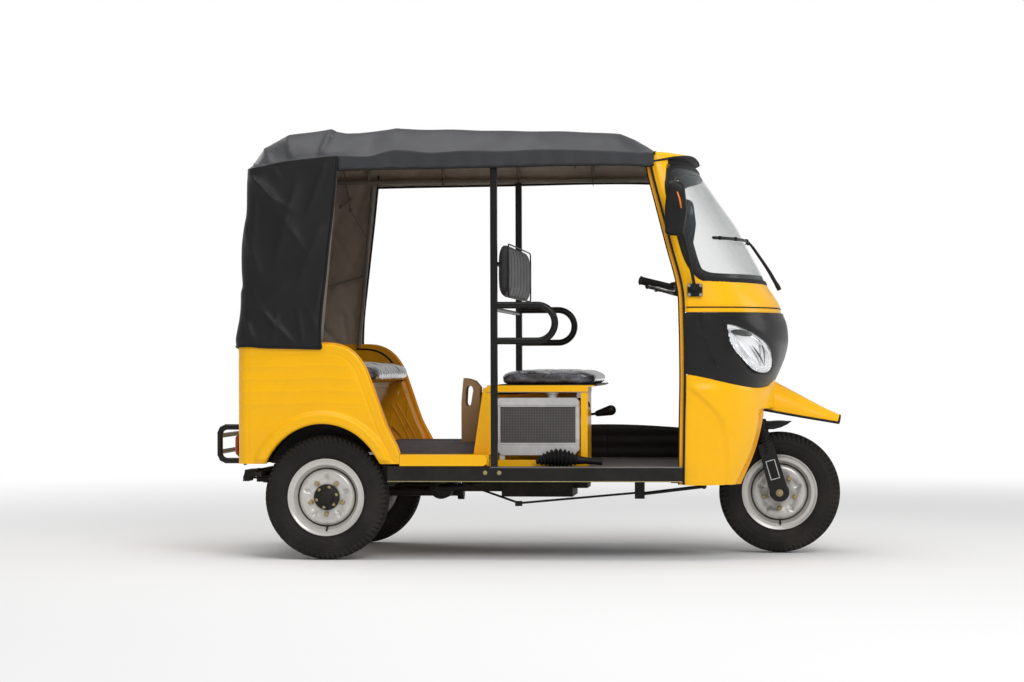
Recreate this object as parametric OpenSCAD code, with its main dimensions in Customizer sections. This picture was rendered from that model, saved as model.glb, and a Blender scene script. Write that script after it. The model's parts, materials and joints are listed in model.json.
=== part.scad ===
// Three-wheeled passenger auto rickshaw: one steered front wheel, a closed nose and
// windscreen, open sides, a driver's seat over the engine, a passenger bench in a steel
// tub and a fabric canopy. All sizes are in millimetres.
// +X is forward, +Y is the vehicle's left, +Z is up. The origin is on the ground, under
// the middle of the whole vehicle.

/* [Wheels] */
// Distance from the rear axle to the front axle
wheelbase = 2030; // [2010:5:2050]
// Distance between the middles of the rear tyres
rear_track = 1104; // [1094:2:1110]
// Radius of a tyre
tyre_r = 280; // [276:1:282]
// Width of a tyre
tyre_w = 114; // [104:2:118]
// Radius of a wheel rim's edge
rim_r = 172; // [168:1:176]

/* [Steering] */
// Rake of the steering axis from the vertical, in degrees
rake = 16; // [15:0.5:17]
// Distance of the steering axis behind the fork legs
fork_offset = 35; // [30:1:40]

/* [Body] */
// Half of the width over the tub's sides
side_y = 620; // [615:1:625]
// Thickness of the tub's double-skinned sides
side_t = 32; // [26:1:36]
// Height of the driver's floor
front_floor_z = 412; // [408:1:416]
// Height of the passengers' floor
rear_floor_z = 470; // [466:1:474]
// Thickness of the cab's panels
cab_t = 12; // [10:1:16]

/* [Canopy] */
// Half of the canopy's width
canopy_y = 630; // [628:1:634]
// Height of the canopy's side edge
valance_z = 1759; // [1750:1:1764]
// Thickness of the canopy
canopy_t = 8; // [6:1:10]

/* [Hidden] */
$fn = 48;
front_x = 1142;
rear_x = front_x - wheelbase;
rear_y = rear_track / 2;
post_x = -127;
post_y = 590;
post_w = 30;
arch_x = rear_x - 17;
arch_z = tyre_r + 10;
arch_a = 290;
arch_b = 327;
tub_rear_x = -1291;
tub_bottom_z = 431;
rail_r = 12;
loop_r = 80;
loop_tube_r = 15.5;
nose_split_z = 1105;
screen_z0 = 1245;
screen_z1 = 1766;
cab_top_z = 1800;

// Node names, one per separate piece

// ---------------------------------------------------------------- helpers

// Round bar from p to q
module rod(p, q, r) {
  d = q - p;
  length = norm(d);
  translate(p) rotate([0, acos(d[2] / length), atan2(d[1], d[0])]) cylinder(r = r, h = length);
}

// Round bars along a list of points, with a slightly proud ball at each bend
module bent_tube(points, r) {
  for (i = [0:len(points) - 2]) rod(points[i], points[i + 1], r);
  for (i = [1:len(points) - 2]) translate(points[i]) sphere(r = r * 1.03);
}

// Box from its lowest to its highest corner
module box(low, high) {
  translate(low) cube(high - low);
}

// Side-view outline, X and Z, carried across from y0 to y1
module across(y0, y1) {
  translate([0, y1, 0]) rotate([90, 0, 0]) linear_extrude(y1 - y0) children();
}

// Front-view outline, Y and Z, carried forward from x0 to x1
module along(x0, x1) {
  translate([x0, 0, 0]) rotate([90, 0, 90]) linear_extrude(x1 - x0) children();
}

// The shape and its mirror image on the other side
module both_sides() {
  children();
  mirror([0, 1, 0]) children();
}

// Points of an ellipse's arc in n steps
function arc(cx, cy, a, b, from, to, n) =
  [for (i = [0:n]) let(t = from + (to - from) * i / n) [cx + a * cos(t), cy + b * sin(t)]];

// Moves a convex outline's points inwards by d, for points listed anticlockwise
function inset(points, d) = [
  for (i = [0:len(points) - 1])
    let(
      n = len(points),
      before = points[(i + n - 1) % n],
      here = points[i],
      after = points[(i + 1) % n],
      a = (here - before) / norm(here - before),
      b = (after - here) / norm(after - here),
      na = [-a[1], a[0]],
      nb = [-b[1], b[0]],
      m = (na + nb) / norm(na + nb)
    )
    here + m * d / (m * na)
];

// Curved panel of thickness t under the surface f(u, v), where cross(df/du, df/dv)
// points outwards. Only the grid cells that keep(i, j) accepts are made.
module curved_panel(f, nu, nv, t, keep = function(i, j) true) {
  e = 0.002;
  function outward(u, v) =
    let(
      du = f(min(u + e, 1), v) - f(max(u - e, 0), v),
      dv = f(u, min(v + e, 1)) - f(u, max(v - e, 0)),
      n = cross(du, dv)
    )
    n / norm(n);
  outer = [for (i = [0:nu]) for (j = [0:nv]) f(i / nu, j / nv)];
  inner = [for (i = [0:nu]) for (j = [0:nv]) f(i / nu, j / nv) - t * outward(i / nu, j / nv)];
  count = len(outer);
  function at(i, j) = i * (nv + 1) + j;
  function quad(a, b, c, d) = [[a, b, c], [a, c, d]];
  function kept(i, j) = i >= 0 && j >= 0 && i < nu && j < nv && keep(i, j);
  faces = [
    for (i = [0:nu - 1])
      for (j = [0:nv - 1])
        if (kept(i, j))
          let(a = at(i, j), b = at(i + 1, j), c = at(i + 1, j + 1), d = at(i, j + 1))
          each concat(
            quad(a, d, c, b),
            quad(count + a, count + b, count + c, count + d),
            kept(i, j - 1) ? [] : quad(a, b, count + b, count + a),
            kept(i + 1, j) ? [] : quad(b, c, count + c, count + b),
            kept(i, j + 1) ? [] : quad(c, d, count + d, count + c),
            kept(i - 1, j) ? [] : quad(d, a, count + a, count + d)
          )
  ];
  polyhedron(points = concat(outer, inner), faces = faces, convexity = 6);
}

// Frame of the steered parts: the axle at the origin, Z up along the fork legs
module steered() {
  translate([front_x, 0, tyre_r]) rotate([0, -rake, 0]) children();
}

// ---------------------------------------------------------------- chassis

rail_y0 = 232;
rail_y1 = 270;
rail_z0 = 335;
rail_z1 = 398;

rail_front = 800;

module chassis_rails() color("#1c1c1e") both_sides()
  box([-1268, rail_y0, rail_z0], [rail_front, rail_y1, rail_z1]);

module cross_members() color("#1c1c1e") {
  // between the rails
  for (x = [-1268, -560, 260, 760]) box([x, -rail_y0, rail_z0 + 4], [x + 40, rail_y0, rail_z1 - 4]);
  both_sides() {
    // outriggers to the sills
    for (x = [-150, 260, 660]) box([x, rail_y1, 345], [x + 40, 574, 393]);
    box([-540, rail_y1, 372], [-500, 574, 397]);
    // body mounts behind the wheels
    box([-1228, rail_y1, 372], [-1190, 560, 393]);
  }
}

module steering_neck() color("#1c1c1e") {
  head_low = 450;
  head_h = 190;
  difference() {
    union() {
      // bracket plates on the rails' front ends and the tubes up to the steering head
      both_sides() {
        crown = steered_point([-fork_offset, 17, head_low + 110]);
        box([rail_front + 0.5, rail_y0 - 20, rail_z0 + 10], [rail_front + 46, rail_y1, rail_z1 - 4]);
        translate([rail_front + 25, 238, rail_z1 - 4]) sphere(r = 24);
        rod([rail_front + 25, 238, rail_z1 - 4], [866, 190, 700], 18);
        translate([866, 190, 700]) sphere(r = 22);
        rod([866, 190, 700], crown, 15);
      }
      steered() translate([-fork_offset, 0, head_low]) cylinder(r = 30, h = head_h);
    }
    steered() translate([-fork_offset, 0, head_low - 1]) cylinder(r = 20, h = head_h + 2);
  }
}

module side_sills() color("#1a1a1c") both_sides() difference() {
  across(576, 618) polygon([[-606, 352], [712, 352], [712, front_floor_z], [-150, front_floor_z],
    [-150, 420], [-606, 420]]);
  // folded channel, open inwards and below
  across(570, 612) polygon([[-603, 340], [709, 340], [709, front_floor_z - 3], [-153, front_floor_z - 3],
    [-153, 417], [-603, 417]]);
}

module front_floor() color("#3a3a3d") difference() {
  union() {
    box([-148, -574, rail_z1 + 0.5], [712, 574, front_floor_z]);
    box([711, -556, rail_z1 + 0.5], [790, 556, front_floor_z]);
    // mat over the sills
    both_sides() box([-148, 560, front_floor_z - 1], [712, 575, front_floor_z + 4]);
    both_sides() box([-148, 574, front_floor_z + 0.3], [712, 617, front_floor_z + 4]);
  }
  // opening for the engine, under the seat box
  box([-149, -156, 390], [196, 176, 420]);
}

tunnel_z = rear_floor_z + 46;

module rear_floor() color("#f7b60b") difference() {
  union() {
    box([-690, -590, rear_floor_z - 8], [-152, 590, rear_floor_z]);
    // raised middle over the drive
    along(-684, -178) polygon([[-320, rear_floor_z - 1], [-262, tunnel_z], [262, tunnel_z], [320, rear_floor_z - 1]]);
    // riser down to the driver's floor
    box([-164, -590, front_floor_z + 12], [-152, 590, rear_floor_z - 4]);
    // rounded edge strips
    both_sides() across(586, side_y) polygon(concat(
      [[-551, 422]],
      arc(-180, 444, 22, 22, -90, 0, 6),
      arc(-180, rear_floor_z - 20, 22, 22, 0, 90, 6),
      [[-551, rear_floor_z + 2]]
    ));
  }
  // clearance round the wheel houses and behind the side panels' front edges
  both_sides() {
    across(450, 600) polygon(arc(arch_x, arch_z, arch_a + 20, arch_b + 20, 0, 180, 24));
    box([-700, 586, 400], [-551, 640, 480]);
  }
  along(-676, -186) polygon([[-308, rear_floor_z - 9], [-308, rear_floor_z - 2], [-256, tunnel_z - 7],
    [256, tunnel_z - 7], [308, rear_floor_z - 2], [308, rear_floor_z - 9]]);
  // room for the driver's seat box
  box([-177, bay_y0 - 1, 400], [-140, 451, 480]);
}

// ---------------------------------------------------------------- tub

tub_edge = [[-552, tub_bottom_z], [-552, 478], [-578, 538], [-612, 604], [-661, 743], [-702, 856],
  [-738, 913], [-780, 949], [-847, 970], [-910, 973], [tub_rear_x, 962]];

module quarter_panel(side) color("#f7b60b") mirror([0, side > 0 ? 0 : 1, 0]) {
  corner_r = 60;
  bottom = asin((tub_bottom_z - arch_z) / arch_b);
  skin = side_y - side_t;
  // side panel that turns the rear corner
  intersection() {
    across(0, side_y + 1) polygon(concat(
      [[tub_rear_x, tub_bottom_z]],
      arc(arch_x, arch_z, arch_a, arch_b, 180 - bottom, bottom, 24),
      tub_edge
    ));
    linear_extrude(1200) polygon(concat(
      [[-500, skin], [-500, side_y]],
      arc(tub_rear_x + corner_r, side_y - corner_r, corner_r, corner_r, 90, 180, 8),
      [[tub_rear_x, 500], [tub_rear_x + 20, 500]],
      arc(tub_rear_x + corner_r, side_y - corner_r, corner_r - 20, corner_r - side_t, 180, 90, 8)
    ));
  }
  // flare over the wheel
  across(side_y - 1, side_y + 22) polygon(concat(
    arc(arch_x, arch_z, arch_a + 38, arch_b + 38, bottom, 180 - bottom, 24),
    arc(arch_x, arch_z, arch_a, arch_b, 180 - bottom, bottom, 24)
  ));
  // wheel house
  across(462, skin + 1) polygon(concat(
    arc(arch_x, arch_z, arch_a + 18, arch_b + 18, bottom, 180 - bottom, 24),
    arc(arch_x, arch_z, arch_a + 9, arch_b + 9, 180 - bottom, bottom, 24)
  ));
  across(454, 463) polygon(arc(arch_x, arch_z, arch_a + 18, arch_b + 18, bottom, 180 - bottom, 24));
}

module quarter_panel_right() quarter_panel(-1);
module quarter_panel_left() quarter_panel(1);

plate_z = 640;
plate_spacing = 152;
plate_hole_r = 3.5;

module rear_wall() color("#f7b60b") difference() {
  box([tub_rear_x, -499, tub_bottom_z], [tub_rear_x + 20, 499, 962]);
  for (y = [-1, 1]) translate([tub_rear_x - 1, y * plate_spacing / 2, plate_z])
    rotate([0, 90, 0]) cylinder(r = plate_hole_r, h = 22);
}

module passenger_seat_base() color("#d9cdb4") difference() {
  union() {
    // front panel, leaning back under the cushion
    across(-586, 586) polygon([[-700, rear_floor_z + 1], [-690, rear_floor_z + 1], [-668, 792], [-678, 792]]);
    // top board
    linear_extrude_z(780, 792)
      polygon([[-1268, -550], [-669, -550], [-669, 550], [-1268, 550]]);
    both_sides() linear_extrude_z(780, 792) polygon([[-1268, 549], [-669, 549], [-669, 586], [-1230, 586]]);
  }
  both_sides() across(450, 600)
    polygon(arc(arch_x, arch_z, arch_a + 20, arch_b + 20, 0, 180, 24));
}

module passenger_cushion() color("#4a4a4e")
  hull() for (x = [-1170, -655], y = [-540, 540], z = [818, 848]) translate([x, y, z]) sphere(r = 25, $fn = 20);

module passenger_backrest() color("#4a4a4e")
  hull() for (y = [-530, 530], p = [[-1168, 905], [-1140, 905], [-1222, 1290], [-1196, 1290]])
    translate([p[0], y, p[1]]) sphere(r = 25, $fn = 20);

// ---------------------------------------------------------------- canopy

canopy_side = [[-1302, 950], [592, 950], [592, 1838], [440, 1906], [74, 1928], [-149, 1932], [-570, 1938],
  [-870, 1944], [-1062, 1917], [-1168, 1862], [-1248, 1762], [-1292, 1215]];
canopy_section = concat([[-canopy_y, 900], [canopy_y, 900]],
  arc(canopy_y - 110, 1820, 110, 112, 0, 80, 6), [[0, 1944]],
  arc(-canopy_y + 110, 1820, 110, 112, 100, 180, 6));
canopy_plan = concat([[620, -canopy_y], [620, canopy_y]],
  arc(-1302 + 70, canopy_y - 70, 70, 70, 90, 180, 6),
  arc(-1302 + 70, -canopy_y + 70, 70, 70, 180, 270, 6));

// The canopy's full outer shape, inset by d
module canopy_block(d) intersection() {
  across(-700, 700) polygon(inset(canopy_side, d));
  along(-1400, 700) polygon(inset(canopy_section, d));
  linear_extrude(2100) polygon(inset(canopy_plan, d));
}

module canopy() color("#2b2c30") difference() {
  canopy_block(0);
  canopy_block(canopy_t);
  // open front end and bottom
  box([500, -canopy_y + canopy_t, 900], [700, canopy_y - canopy_t, 1828]);
  linear_extrude_z(900, 980) polygon(inset(canopy_plan, canopy_t));
  // open sides ahead of the side curtains
  across(-700, 700) polygon([[-912, 900], [-912, 982], [-890, 1235], [-832, valance_z], [700, valance_z],
    [700, 900]]);
  // window in the rear curtain
  box([-1400, -330, 1330], [-1200, 330, 1600]);
}

module rear_window() color([0.8, 0.85, 0.86, 0.5]) intersection() {
  difference() {
    canopy_block(2);
    canopy_block(4);
  }
  box([-1400, -329.5, 1330.5], [-1200, 329.5, 1599.5]);
}

// Bars that lie against each other with a hair's gap, so that each stays a plain round bar
module canopy_frame() color("#8a8377") {
  rail_z = 1776;
  gap = 0.4;
  hoop_r = 9;
  both_sides() {
    // side rail, the posts that carry it and the brace between them
    rod([-1214, post_y, rail_z], [560, post_y, rail_z], rail_r);
    for (x = [[-1258, -1196], [-918, -846]])
      rod([x[0], post_y - 22, 966], [x[1], post_y - 22, rail_z - 26], rail_r - 2);
    rod([-1228, post_y - 22, 1220], [-886, post_y - 22, 1312], 6);
    // shoulder bar down the rear slope
    rod([-1202, 545, 1786], [-1148, 545, 1828], 7);
  }
  // hoops across the roof, standing on the side rails
  for (x = [-870, -500, -127, 240, 530]) {
    top = x > 500 ? 1836 : x > 200 ? 1892 : 1906;
    low = rail_z + rail_r + gap;
    bent_tube([[x, -post_y, low], [x, -post_y + 8, low + 30], [x, -post_y + 60, top],
      [x, post_y - 60, top], [x, post_y - 8, low + 30], [x, post_y, low]], hoop_r);
  }
  // bars that shape the rear slope
  for (p = [[-1132, 1846, 540], [-1040, 1890, 520], [-1214, 1752, 560]])
    rod([p[0], -p[2], p[1]], [p[0], p[2], p[1]], hoop_r);
}

// ---------------------------------------------------------------- driver's place

module pillars() color("#151517") {
  both_sides() box([post_x - post_w / 2, post_y - post_w / 2, front_floor_z + 4.2],
    [post_x + post_w / 2, post_y + post_w / 2, 1763]);
  for (z = [1122, 1330]) rod([post_x, -post_y, z], [post_x, post_y, z], 10);
}

module driver_backrest() color("#3c3d42") {
  x = post_x + post_w / 2 + 24;
  hull() for (y = [-540, 540], z = [1190, 1405]) translate([x, y, z]) sphere(r = 23, $fn = 20);
}

module armrest_loops() color("#111113") both_sides() translate([0, post_y + 2, 1060]) {
  start = post_x + post_w / 2;
  bend = 66;
  for (z = [-loop_r, loop_r]) rod([start, 0, z], [bend, 0, z], loop_tube_r);
  translate([bend, 0, 0]) rotate([90, 0, 0]) rotate([0, 0, -90]) rotate_extrude(angle = 180)
    translate([loop_r, 0]) circle(r = loop_tube_r);
}

bay_y0 = -450;
bay_y1 = -200;
pedal_y = -300;

module driver_seat_box() color("#f7b60b") {
  floor_z = front_floor_z + 1;
  // radiator bay: posts, rails and back sheet
  for (x = [-176, 251]) box([x, bay_y0, floor_z], [x + 30, bay_y0 + 30, 752]);
  box([251, bay_y0 + 30, floor_z], [281, bay_y1, 752]);
  box([-176, bay_y0, 750], [283, bay_y1, 774]);
  box([-146, bay_y0, floor_z], [252, bay_y0 + 30, floor_z + 30]);
  // box over the engine
  difference() {
    box([-176, bay_y1, floor_z], [215, 450, 774]);
    box([-170, bay_y1 + 6, floor_z - 1], [209, 444, 768]);
  }
  // lid under the cushion
  box([-176, -450, 774], [310, 450, 780]);
  // sloping rear brace sheet behind the bay
  across(bay_y0, bay_y0 + 12) polygon([[-236, rear_floor_z + 1], [-176, rear_floor_z + 1], [-176, 770], [-192, 770]]);
}

module driver_cushion() color("#3c3d42")
  hull() for (x = [-84, 316], y = [-415, 415], z = [803, 815]) translate([x, y, z]) sphere(r = 22, $fn = 20);

module radiator() color("#c4c6c8") {
  y0 = bay_y0 + 12;
  y1 = y0 + 42;
  difference() {
    box([-140, y0, 512], [246, y1, 690]);
    box([-112, y0 - 1, 518], [220, y0 + 8, 682]);
  }
  // tanks with cut corners
  across(y0, y1 + 6) polygon([[-138, 690], [244, 690], [244, 706], [226, 724], [-120, 724], [-138, 706]]);
  across(y0, y1 + 6) polygon([[-138, 512], [244, 512], [244, 490], [216, 464], [-110, 464], [-138, 490]]);
  // filler neck and feet
  translate([120, y0 + 24, 723]) cylinder(r = 18, h = 20);
  for (x = [-120, 200]) box([x, y0 + 4, front_floor_z + 31.2], [x + 24, y1 - 4, 465]);
}

module coolant_tank() color("#6d4f2c") difference() {
  across(-190, -80) polygon([[-322, tunnel_z + 1], [-240, tunnel_z + 1], [-236, 770], [-262, 800],
    [-312, 812], [-322, 700]]);
  // grip opening
  across(-200, -70) polygon(concat(
    arc(-284, 756, 17, 22, 0, 180, 8),
    arc(-290, 700, 14, 18, 180, 360, 8)
  ));
}

module engine_block() color("#55575a") {
  box([-140, -150, 262], [190, 170, 640]);
  box([-330, -120, 290], [-139, 120, 410]);
  box([189, -100, 300], [256, 120, 386]);
}

module rear_axle() color("#2a2a2c") {
  translate([rear_x, 0, tyre_r]) {
    rotate([90, 0, 0]) cylinder(r = 34, h = 2 * (rear_y - 72), center = true);
    sphere(r = 105);
    // drive shaft to the gearbox
    rotate([0, 90, 0]) cylinder(r = 46, h = 125);
    rotate([0, 90, 0]) cylinder(r = 22, h = 556);
    translate([528, 0, 0]) rotate([0, 90, 0]) cylinder(r = 38, h = 28);
    both_sides() {
      // brake backing plate
      translate([0, rear_y - 86, 0]) rotate([-90, 0, 0]) cylinder(r = 104, h = 14);
      // spring seat
      box([-60, 374, 20], [60, 426, 50]);
    }
  }
}

// A leaf is a bowed strip between its two ends, with its middle pulled down
module leaf(x0, x1, z0, z1, bow, t) across(375, 425) polygon(concat(
  [for (i = [0:12]) let(s = i / 12) [x0 + (x1 - x0) * s, z0 + (z1 - z0) * s - bow * 4 * s * (1 - s)]],
  [for (i = [12:-1:0]) let(s = i / 12) [x0 + (x1 - x0) * s, z0 + (z1 - z0) * s - bow * 4 * s * (1 - s) + t]]
));

module leaf_springs() color("#232325") both_sides() {
  seat_z = tyre_r + 50.2;
  leaf(-1278, -392, seat_z + 28, seat_z + 24, 13.5, 7);
  for (k = [0:2]) {
    half = 320 - 90 * k;
    box([rear_x - half, 376, seat_z + 0.2 + 4 * (2 - k)], [rear_x + half, 424, seat_z + 4.2 + 4 * (2 - k)]);
  }
  // eyes, front hanger and rear shackle
  for (p = [[-388, seat_z + 27], [-1284, seat_z + 31]]) translate([p[0], 375, p[1]])
    rotate([-90, 0, 0]) cylinder(r = 17, h = 50);
  for (y = [364, 426]) {
    across(y, y + 10) polygon([[-412, 397], [-364, 397], [-370, 335], [-406, 335]]);
    across(y, y + 10) polygon([[-1300, 345], [-1268, 345], [-1240, 397], [-1290, 397]]);
  }
  for (p = [[-388, seat_z + 27], [-1284, seat_z + 31]]) translate([p[0], 362, p[1]])
    rotate([-90, 0, 0]) cylinder(r = 7, h = 76);
  // hanger beams out from the main rail
  box([-412, rail_y1 + 0.3, 384], [-364, 436, 397]);
  box([-1290, rail_y1 + 0.3, 386], [-1240, 436, 397]);
  // clamp plates and bolts round the axle
  for (x = [-46, 46], y = [368, 432]) translate([rear_x + x, y, seat_z - 90]) cylinder(r = 5, h = 118);
  box([rear_x - 55, 360, seat_z - 92], [rear_x + 55, 440, seat_z - 84.4]);
  box([rear_x - 52, 360, seat_z + 17], [rear_x + 52, 440, seat_z + 25]);
}

// ---------------------------------------------------------------- cab

// The cab's rear edge, nose line and half width at height z
function cab_rear(z) = lookup(z, [[330, 722], [1070, 706], [1258, 699], [1437, 639], [1734, 563], [1830, 548]]);
function cab_nose(z) = lookup(z, [[330, 1046], [650, 1112], [780, 1120], [841, 1145], [900, 1162], [984, 1178],
  [1060, 1170], [1105, 1152], [1140, 1146], [1242, 1084], [1288, 1065], [1446, 981], [1498, 955], [1629, 864],
  [1741, 787], [1790, 752], [1830, 730]]);
function cab_half(z) = lookup(z, [[330, 585], [1105, 592], [1245, 584], [1760, 566], [1830, 540]]);
bluntness = 2.35;

// Point on the cab at height z: a runs from -90 on the right side, over the nose at 0, to 90
function cab_point(a, z, d = 0) =
  let(c = max(cos(a), 0), s = abs(sin(a)), k = 2 / bluntness)
  [
    cab_rear(z) + (cab_nose(z) - cab_rear(z) - d) * pow(c, k),
    sign(a) * (cab_half(z) - d) * pow(s, k),
    z
  ];

// Angle at which the cab's side reaches x at height z
function cab_angle(x, z) =
  acos(pow(max(0, min(1, (x - cab_rear(z)) / (cab_nose(z) - cab_rear(z)))), bluntness / 2));

// Lower edge of the black mask, by angle
function mask_edge(a) = lookup(abs(a), [[0, 806], [12, 800], [25, 776], [40, 768], [55, 778], [70, 797], [90, 830]]);

// Front edge of the cheeks, along the wheel opening
function cheek_x(z) = lookup(z, [[335, 972], [481, 1034], [615, 1068], [670, 1074]]);

// Runs u from the right cheek's rear edge through the nose to the left; cells 5 to nu - 6
// span the wheel opening
function cowl_angle(u, z, edge, n, k) =
  let(i = u * n, e = cab_angle(edge, z))
  i <= k ? -90 + (90 - e) * i / k
  : i >= n - k ? e + (90 - e) * (i - n + k) / k
  : -e + 2 * e * (i - k) / (n - 2 * k);

module front_cowl() color("#f7b60b") {
  n = 20;
  side_cells = 6;
  rows = 8;
  curved_panel(
    function(u, v)
      let(
        z_low = 335 + 335 * v * rows / 6,
        row = v * rows,
        a0 = cowl_angle(u, 670, cheek_x(670), n, side_cells),
        z = row <= 6 ? z_low : 670 + (mask_edge(a0) - 3.5 - 670) * (row - 6) / (rows - 6)
      )
      cab_point(cowl_angle(u, min(z, 670), cheek_x(min(z, 670)), n, side_cells), z),
    n, rows, cab_t,
    function(i, j) i < side_cells || i >= n - side_cells || j >= 6
  );
}

module nose_mask() color("#1d1d1f")
  curved_panel(
    function(u, v) let(a = -90 + 180 * u) cab_point(a, mask_edge(a) + (nose_split_z - 3 - mask_edge(a)) * v, 2),
    20, 5, cab_t
  );

// Rear edge of the windscreen opening
function screen_x(z) = lookup(z, [[1245, 784], [1343, 711], [1400, 675], [1600, 640], [1766, 640]]);

module cab_frame() color("#f7b60b") {
  n = 20;
  side_cells = 3;
  levels = [nose_split_z, 1175, screen_z0, 1343, 1400, 1500, 1600, 1690, screen_z1, cab_top_z];
  rows = len(levels) - 1;
  level = function(v) let(s = v * rows, i = min(floor(s), rows - 1)) levels[i] + (levels[i + 1] - levels[i]) * (s - i);
  curved_panel(
    function(u, v) let(z = level(v)) cab_point(cowl_angle(u, z, screen_x(max(z, screen_z0)), n, side_cells), z),
    n, rows, cab_t,
    function(i, j) j < 2 || j >= rows - 1 || i < side_cells || i >= n - side_cells
  );
  // roof cap that closes the top, with the visor's lip over the glass
  linear_extrude_z(cab_top_z - 1, cab_top_z + 24) polygon(concat(
    [for (i = [0:16]) let(a = -90 + 180 * i / 16, p = cab_point(a, cab_top_z)) [p[0] + 30 * cos(a), p[1]]]
  ));
}

// Plan outline, X and Y, raised from z0 to z1
module linear_extrude_z(z0, z1) translate([0, 0, z0]) linear_extrude(z1 - z0) children();

module windscreen() color([0.75, 0.85, 0.88, 0.35]) {
  gap = 3;
  curved_panel(
    function(u, v)
      let(
        z = screen_z0 + gap + (screen_z1 - screen_z0 - 2 * gap) * v,
        e = cab_angle(screen_x(z) + 3 * gap, z)
      )
      cab_point(-e + 2 * e * u, z, 3),
    16, 10, 5
  );
}

module headlights() color("#d5dade") both_sides() {
  outline = [[-90, 1052], [-60, 1046], [30, 1008], [84, 968], [104, 930], [108, 872], [98, 842], [72, 832],
    [22, 846], [-8, 880], [-54, 926], [-84, 974]];
  intersection() {
    across(200, 700) polygon([for (p = outline) [1000 + p[0], p[1]]]);
    curved_panel(function(u, v) cab_point(22 + 62 * u, 820 + 245 * v, -10), 8, 6, 9.8);
  }
}

module beak_mudguard() color("#f7b60b") difference() {
  hull() {
    across(-118, 118) polygon([[1129, 792], [1150, 776], [1150, 680], [1116, 664]]);
    across(-60, 60) polygon([[1150, 776], [1408, 641], [1425, 612], [1418, 605], [1150, 664]]);
  }
  hull() {
    across(-108, 108) polygon([[1100, 784], [1150, 764], [1150, 600], [1100, 600]]);
    across(-50, 50) polygon([[1150, 764], [1396, 634], [1404, 560], [1150, 600]]);
  }
}

module leg_shield() color("#26262a") {
  // inner panel ahead of the driver's feet, with a slot for the pedal's arm
  difference() {
    across(-536, 536) polygon([[764, front_floor_z + 0.5], [776, front_floor_z + 0.5], [884, 900], [872, 900]]);
    box([750, pedal_y - 14, 440], [830, pedal_y + 14, 515]);
  }
  // dashboard shelf with a pod
  linear_extrude_z(1060, 1076)
    polygon([[940, -430], [1010, -430], [1060, -340], [1060, 340], [1010, 430], [940, 430]]);
  box([950, -90, 1075], [1040, 90, 1150]);
  both_sides() across(418, 430) polygon([[872, 890], [884, 890], [960, 1062], [941, 1062]]);
}

module kick_panel() color("#1f1f22") across(578, 592) polygon(concat(
  [[-110, front_floor_z + 4.5], [716, front_floor_z + 4.5]],
  [for (i = [0:10]) let(s = 1 - i / 10) [-110 + 826 * s, 560 + 20 * sin(180 * s)]]
));

module mirrors() color("#17171a") both_sides() {
  // housing, stalk and bracket
  hull() {
    across(662, 690) polygon([[640, 1448], [726, 1444], [742, 1560], [726, 1670], [700, 1686], [655, 1684], [642, 1560]]);
    across(690, 706) polygon([[652, 1462], [716, 1458], [728, 1560], [716, 1656], [662, 1670]]);
  }
  rod([712, 672, 1460], [766, 606, 1225], 8);
  linear_extrude_z(1172, 1232) polygon([[735, 590.2], [806, 582], [806, 612], [735, 612]]);
}

module wiper() color("#17171a") {
  // pivot, arm and a blade that follows the glass
  rod([1150, 0, 1208], [1122, 0, 1262], 9);
  rod([1124, 0, 1256], (cab_point(0, 1438, -16) + cab_point(-13, 1438, -16)) / 2, 5);
  linear_extrude_z(1431, 1443) polygon([
    for (a = [14, 0, -13, -26, -40, -54, -66]) [cab_point(a, 1438, -10)[0], cab_point(a, 1438, -10)[1]],
    for (a = [-66, -54, -40, -26, -13, 0, 14]) [cab_point(a, 1438, -21)[0], cab_point(a, 1438, -21)[1]]
  ]);
}

// ---------------------------------------------------------------- rear end and trim

module rear_bumper() color("#121214") {
  // a loop at each side and two bars across
  both_sides() bent_tube([[-1293, 400, 438], [-1384, 400, 438], [-1403, 400, 447], [-1412, 400, 466],
    [-1412, 400, 564], [-1403, 400, 583], [-1384, 400, 592], [-1293, 400, 592]], 13);
  for (z = [478, 552]) rod([-1412, -400, z], [-1412, 400, z], 11);
  both_sides() box([-1299, 380, 418], [-1291.4, 420, 614]);
}

module tail_lights() color("#b01818") both_sides()
  box([-1313, 440, 462], [-1291.2, 560, 562]);

module floor_controls() color("#202022") {
  // brake pedal, pivot box and pull rods under the floor
  y = pedal_y;
  rod([-300, y, 330], [-46, y, 241], 5);
  box([-62, y - 9, 227], [-30, y + 9, 250]);
  rod([-46, y, 240], [500, y, 289], 5);
  box([486, y - 20, 262], [530, y + 20, rail_z1]);
  rod([520, y, 284], [800, y, 318], 8);
  translate([800, y, 318]) sphere(r = 12);
  rod([800, y, 318], [806, y, 436], 8);
  translate([806, y, 436]) sphere(r = 12);
  rod([806, y, 436], [752, y, 506], 8);
  box([722, y - 30, 501], [770, y + 30, 513]);
  // reverse lever on the seat box
  rod([217, -40, 634], [306, -40, 646], 6);
  hull() {
    translate([300, -40, 645]) sphere(r = 14, $fn = 20);
    translate([362, -40, 660]) sphere(r = 24, $fn = 20);
  }
}

// ---------------------------------------------------------------- steering

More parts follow.
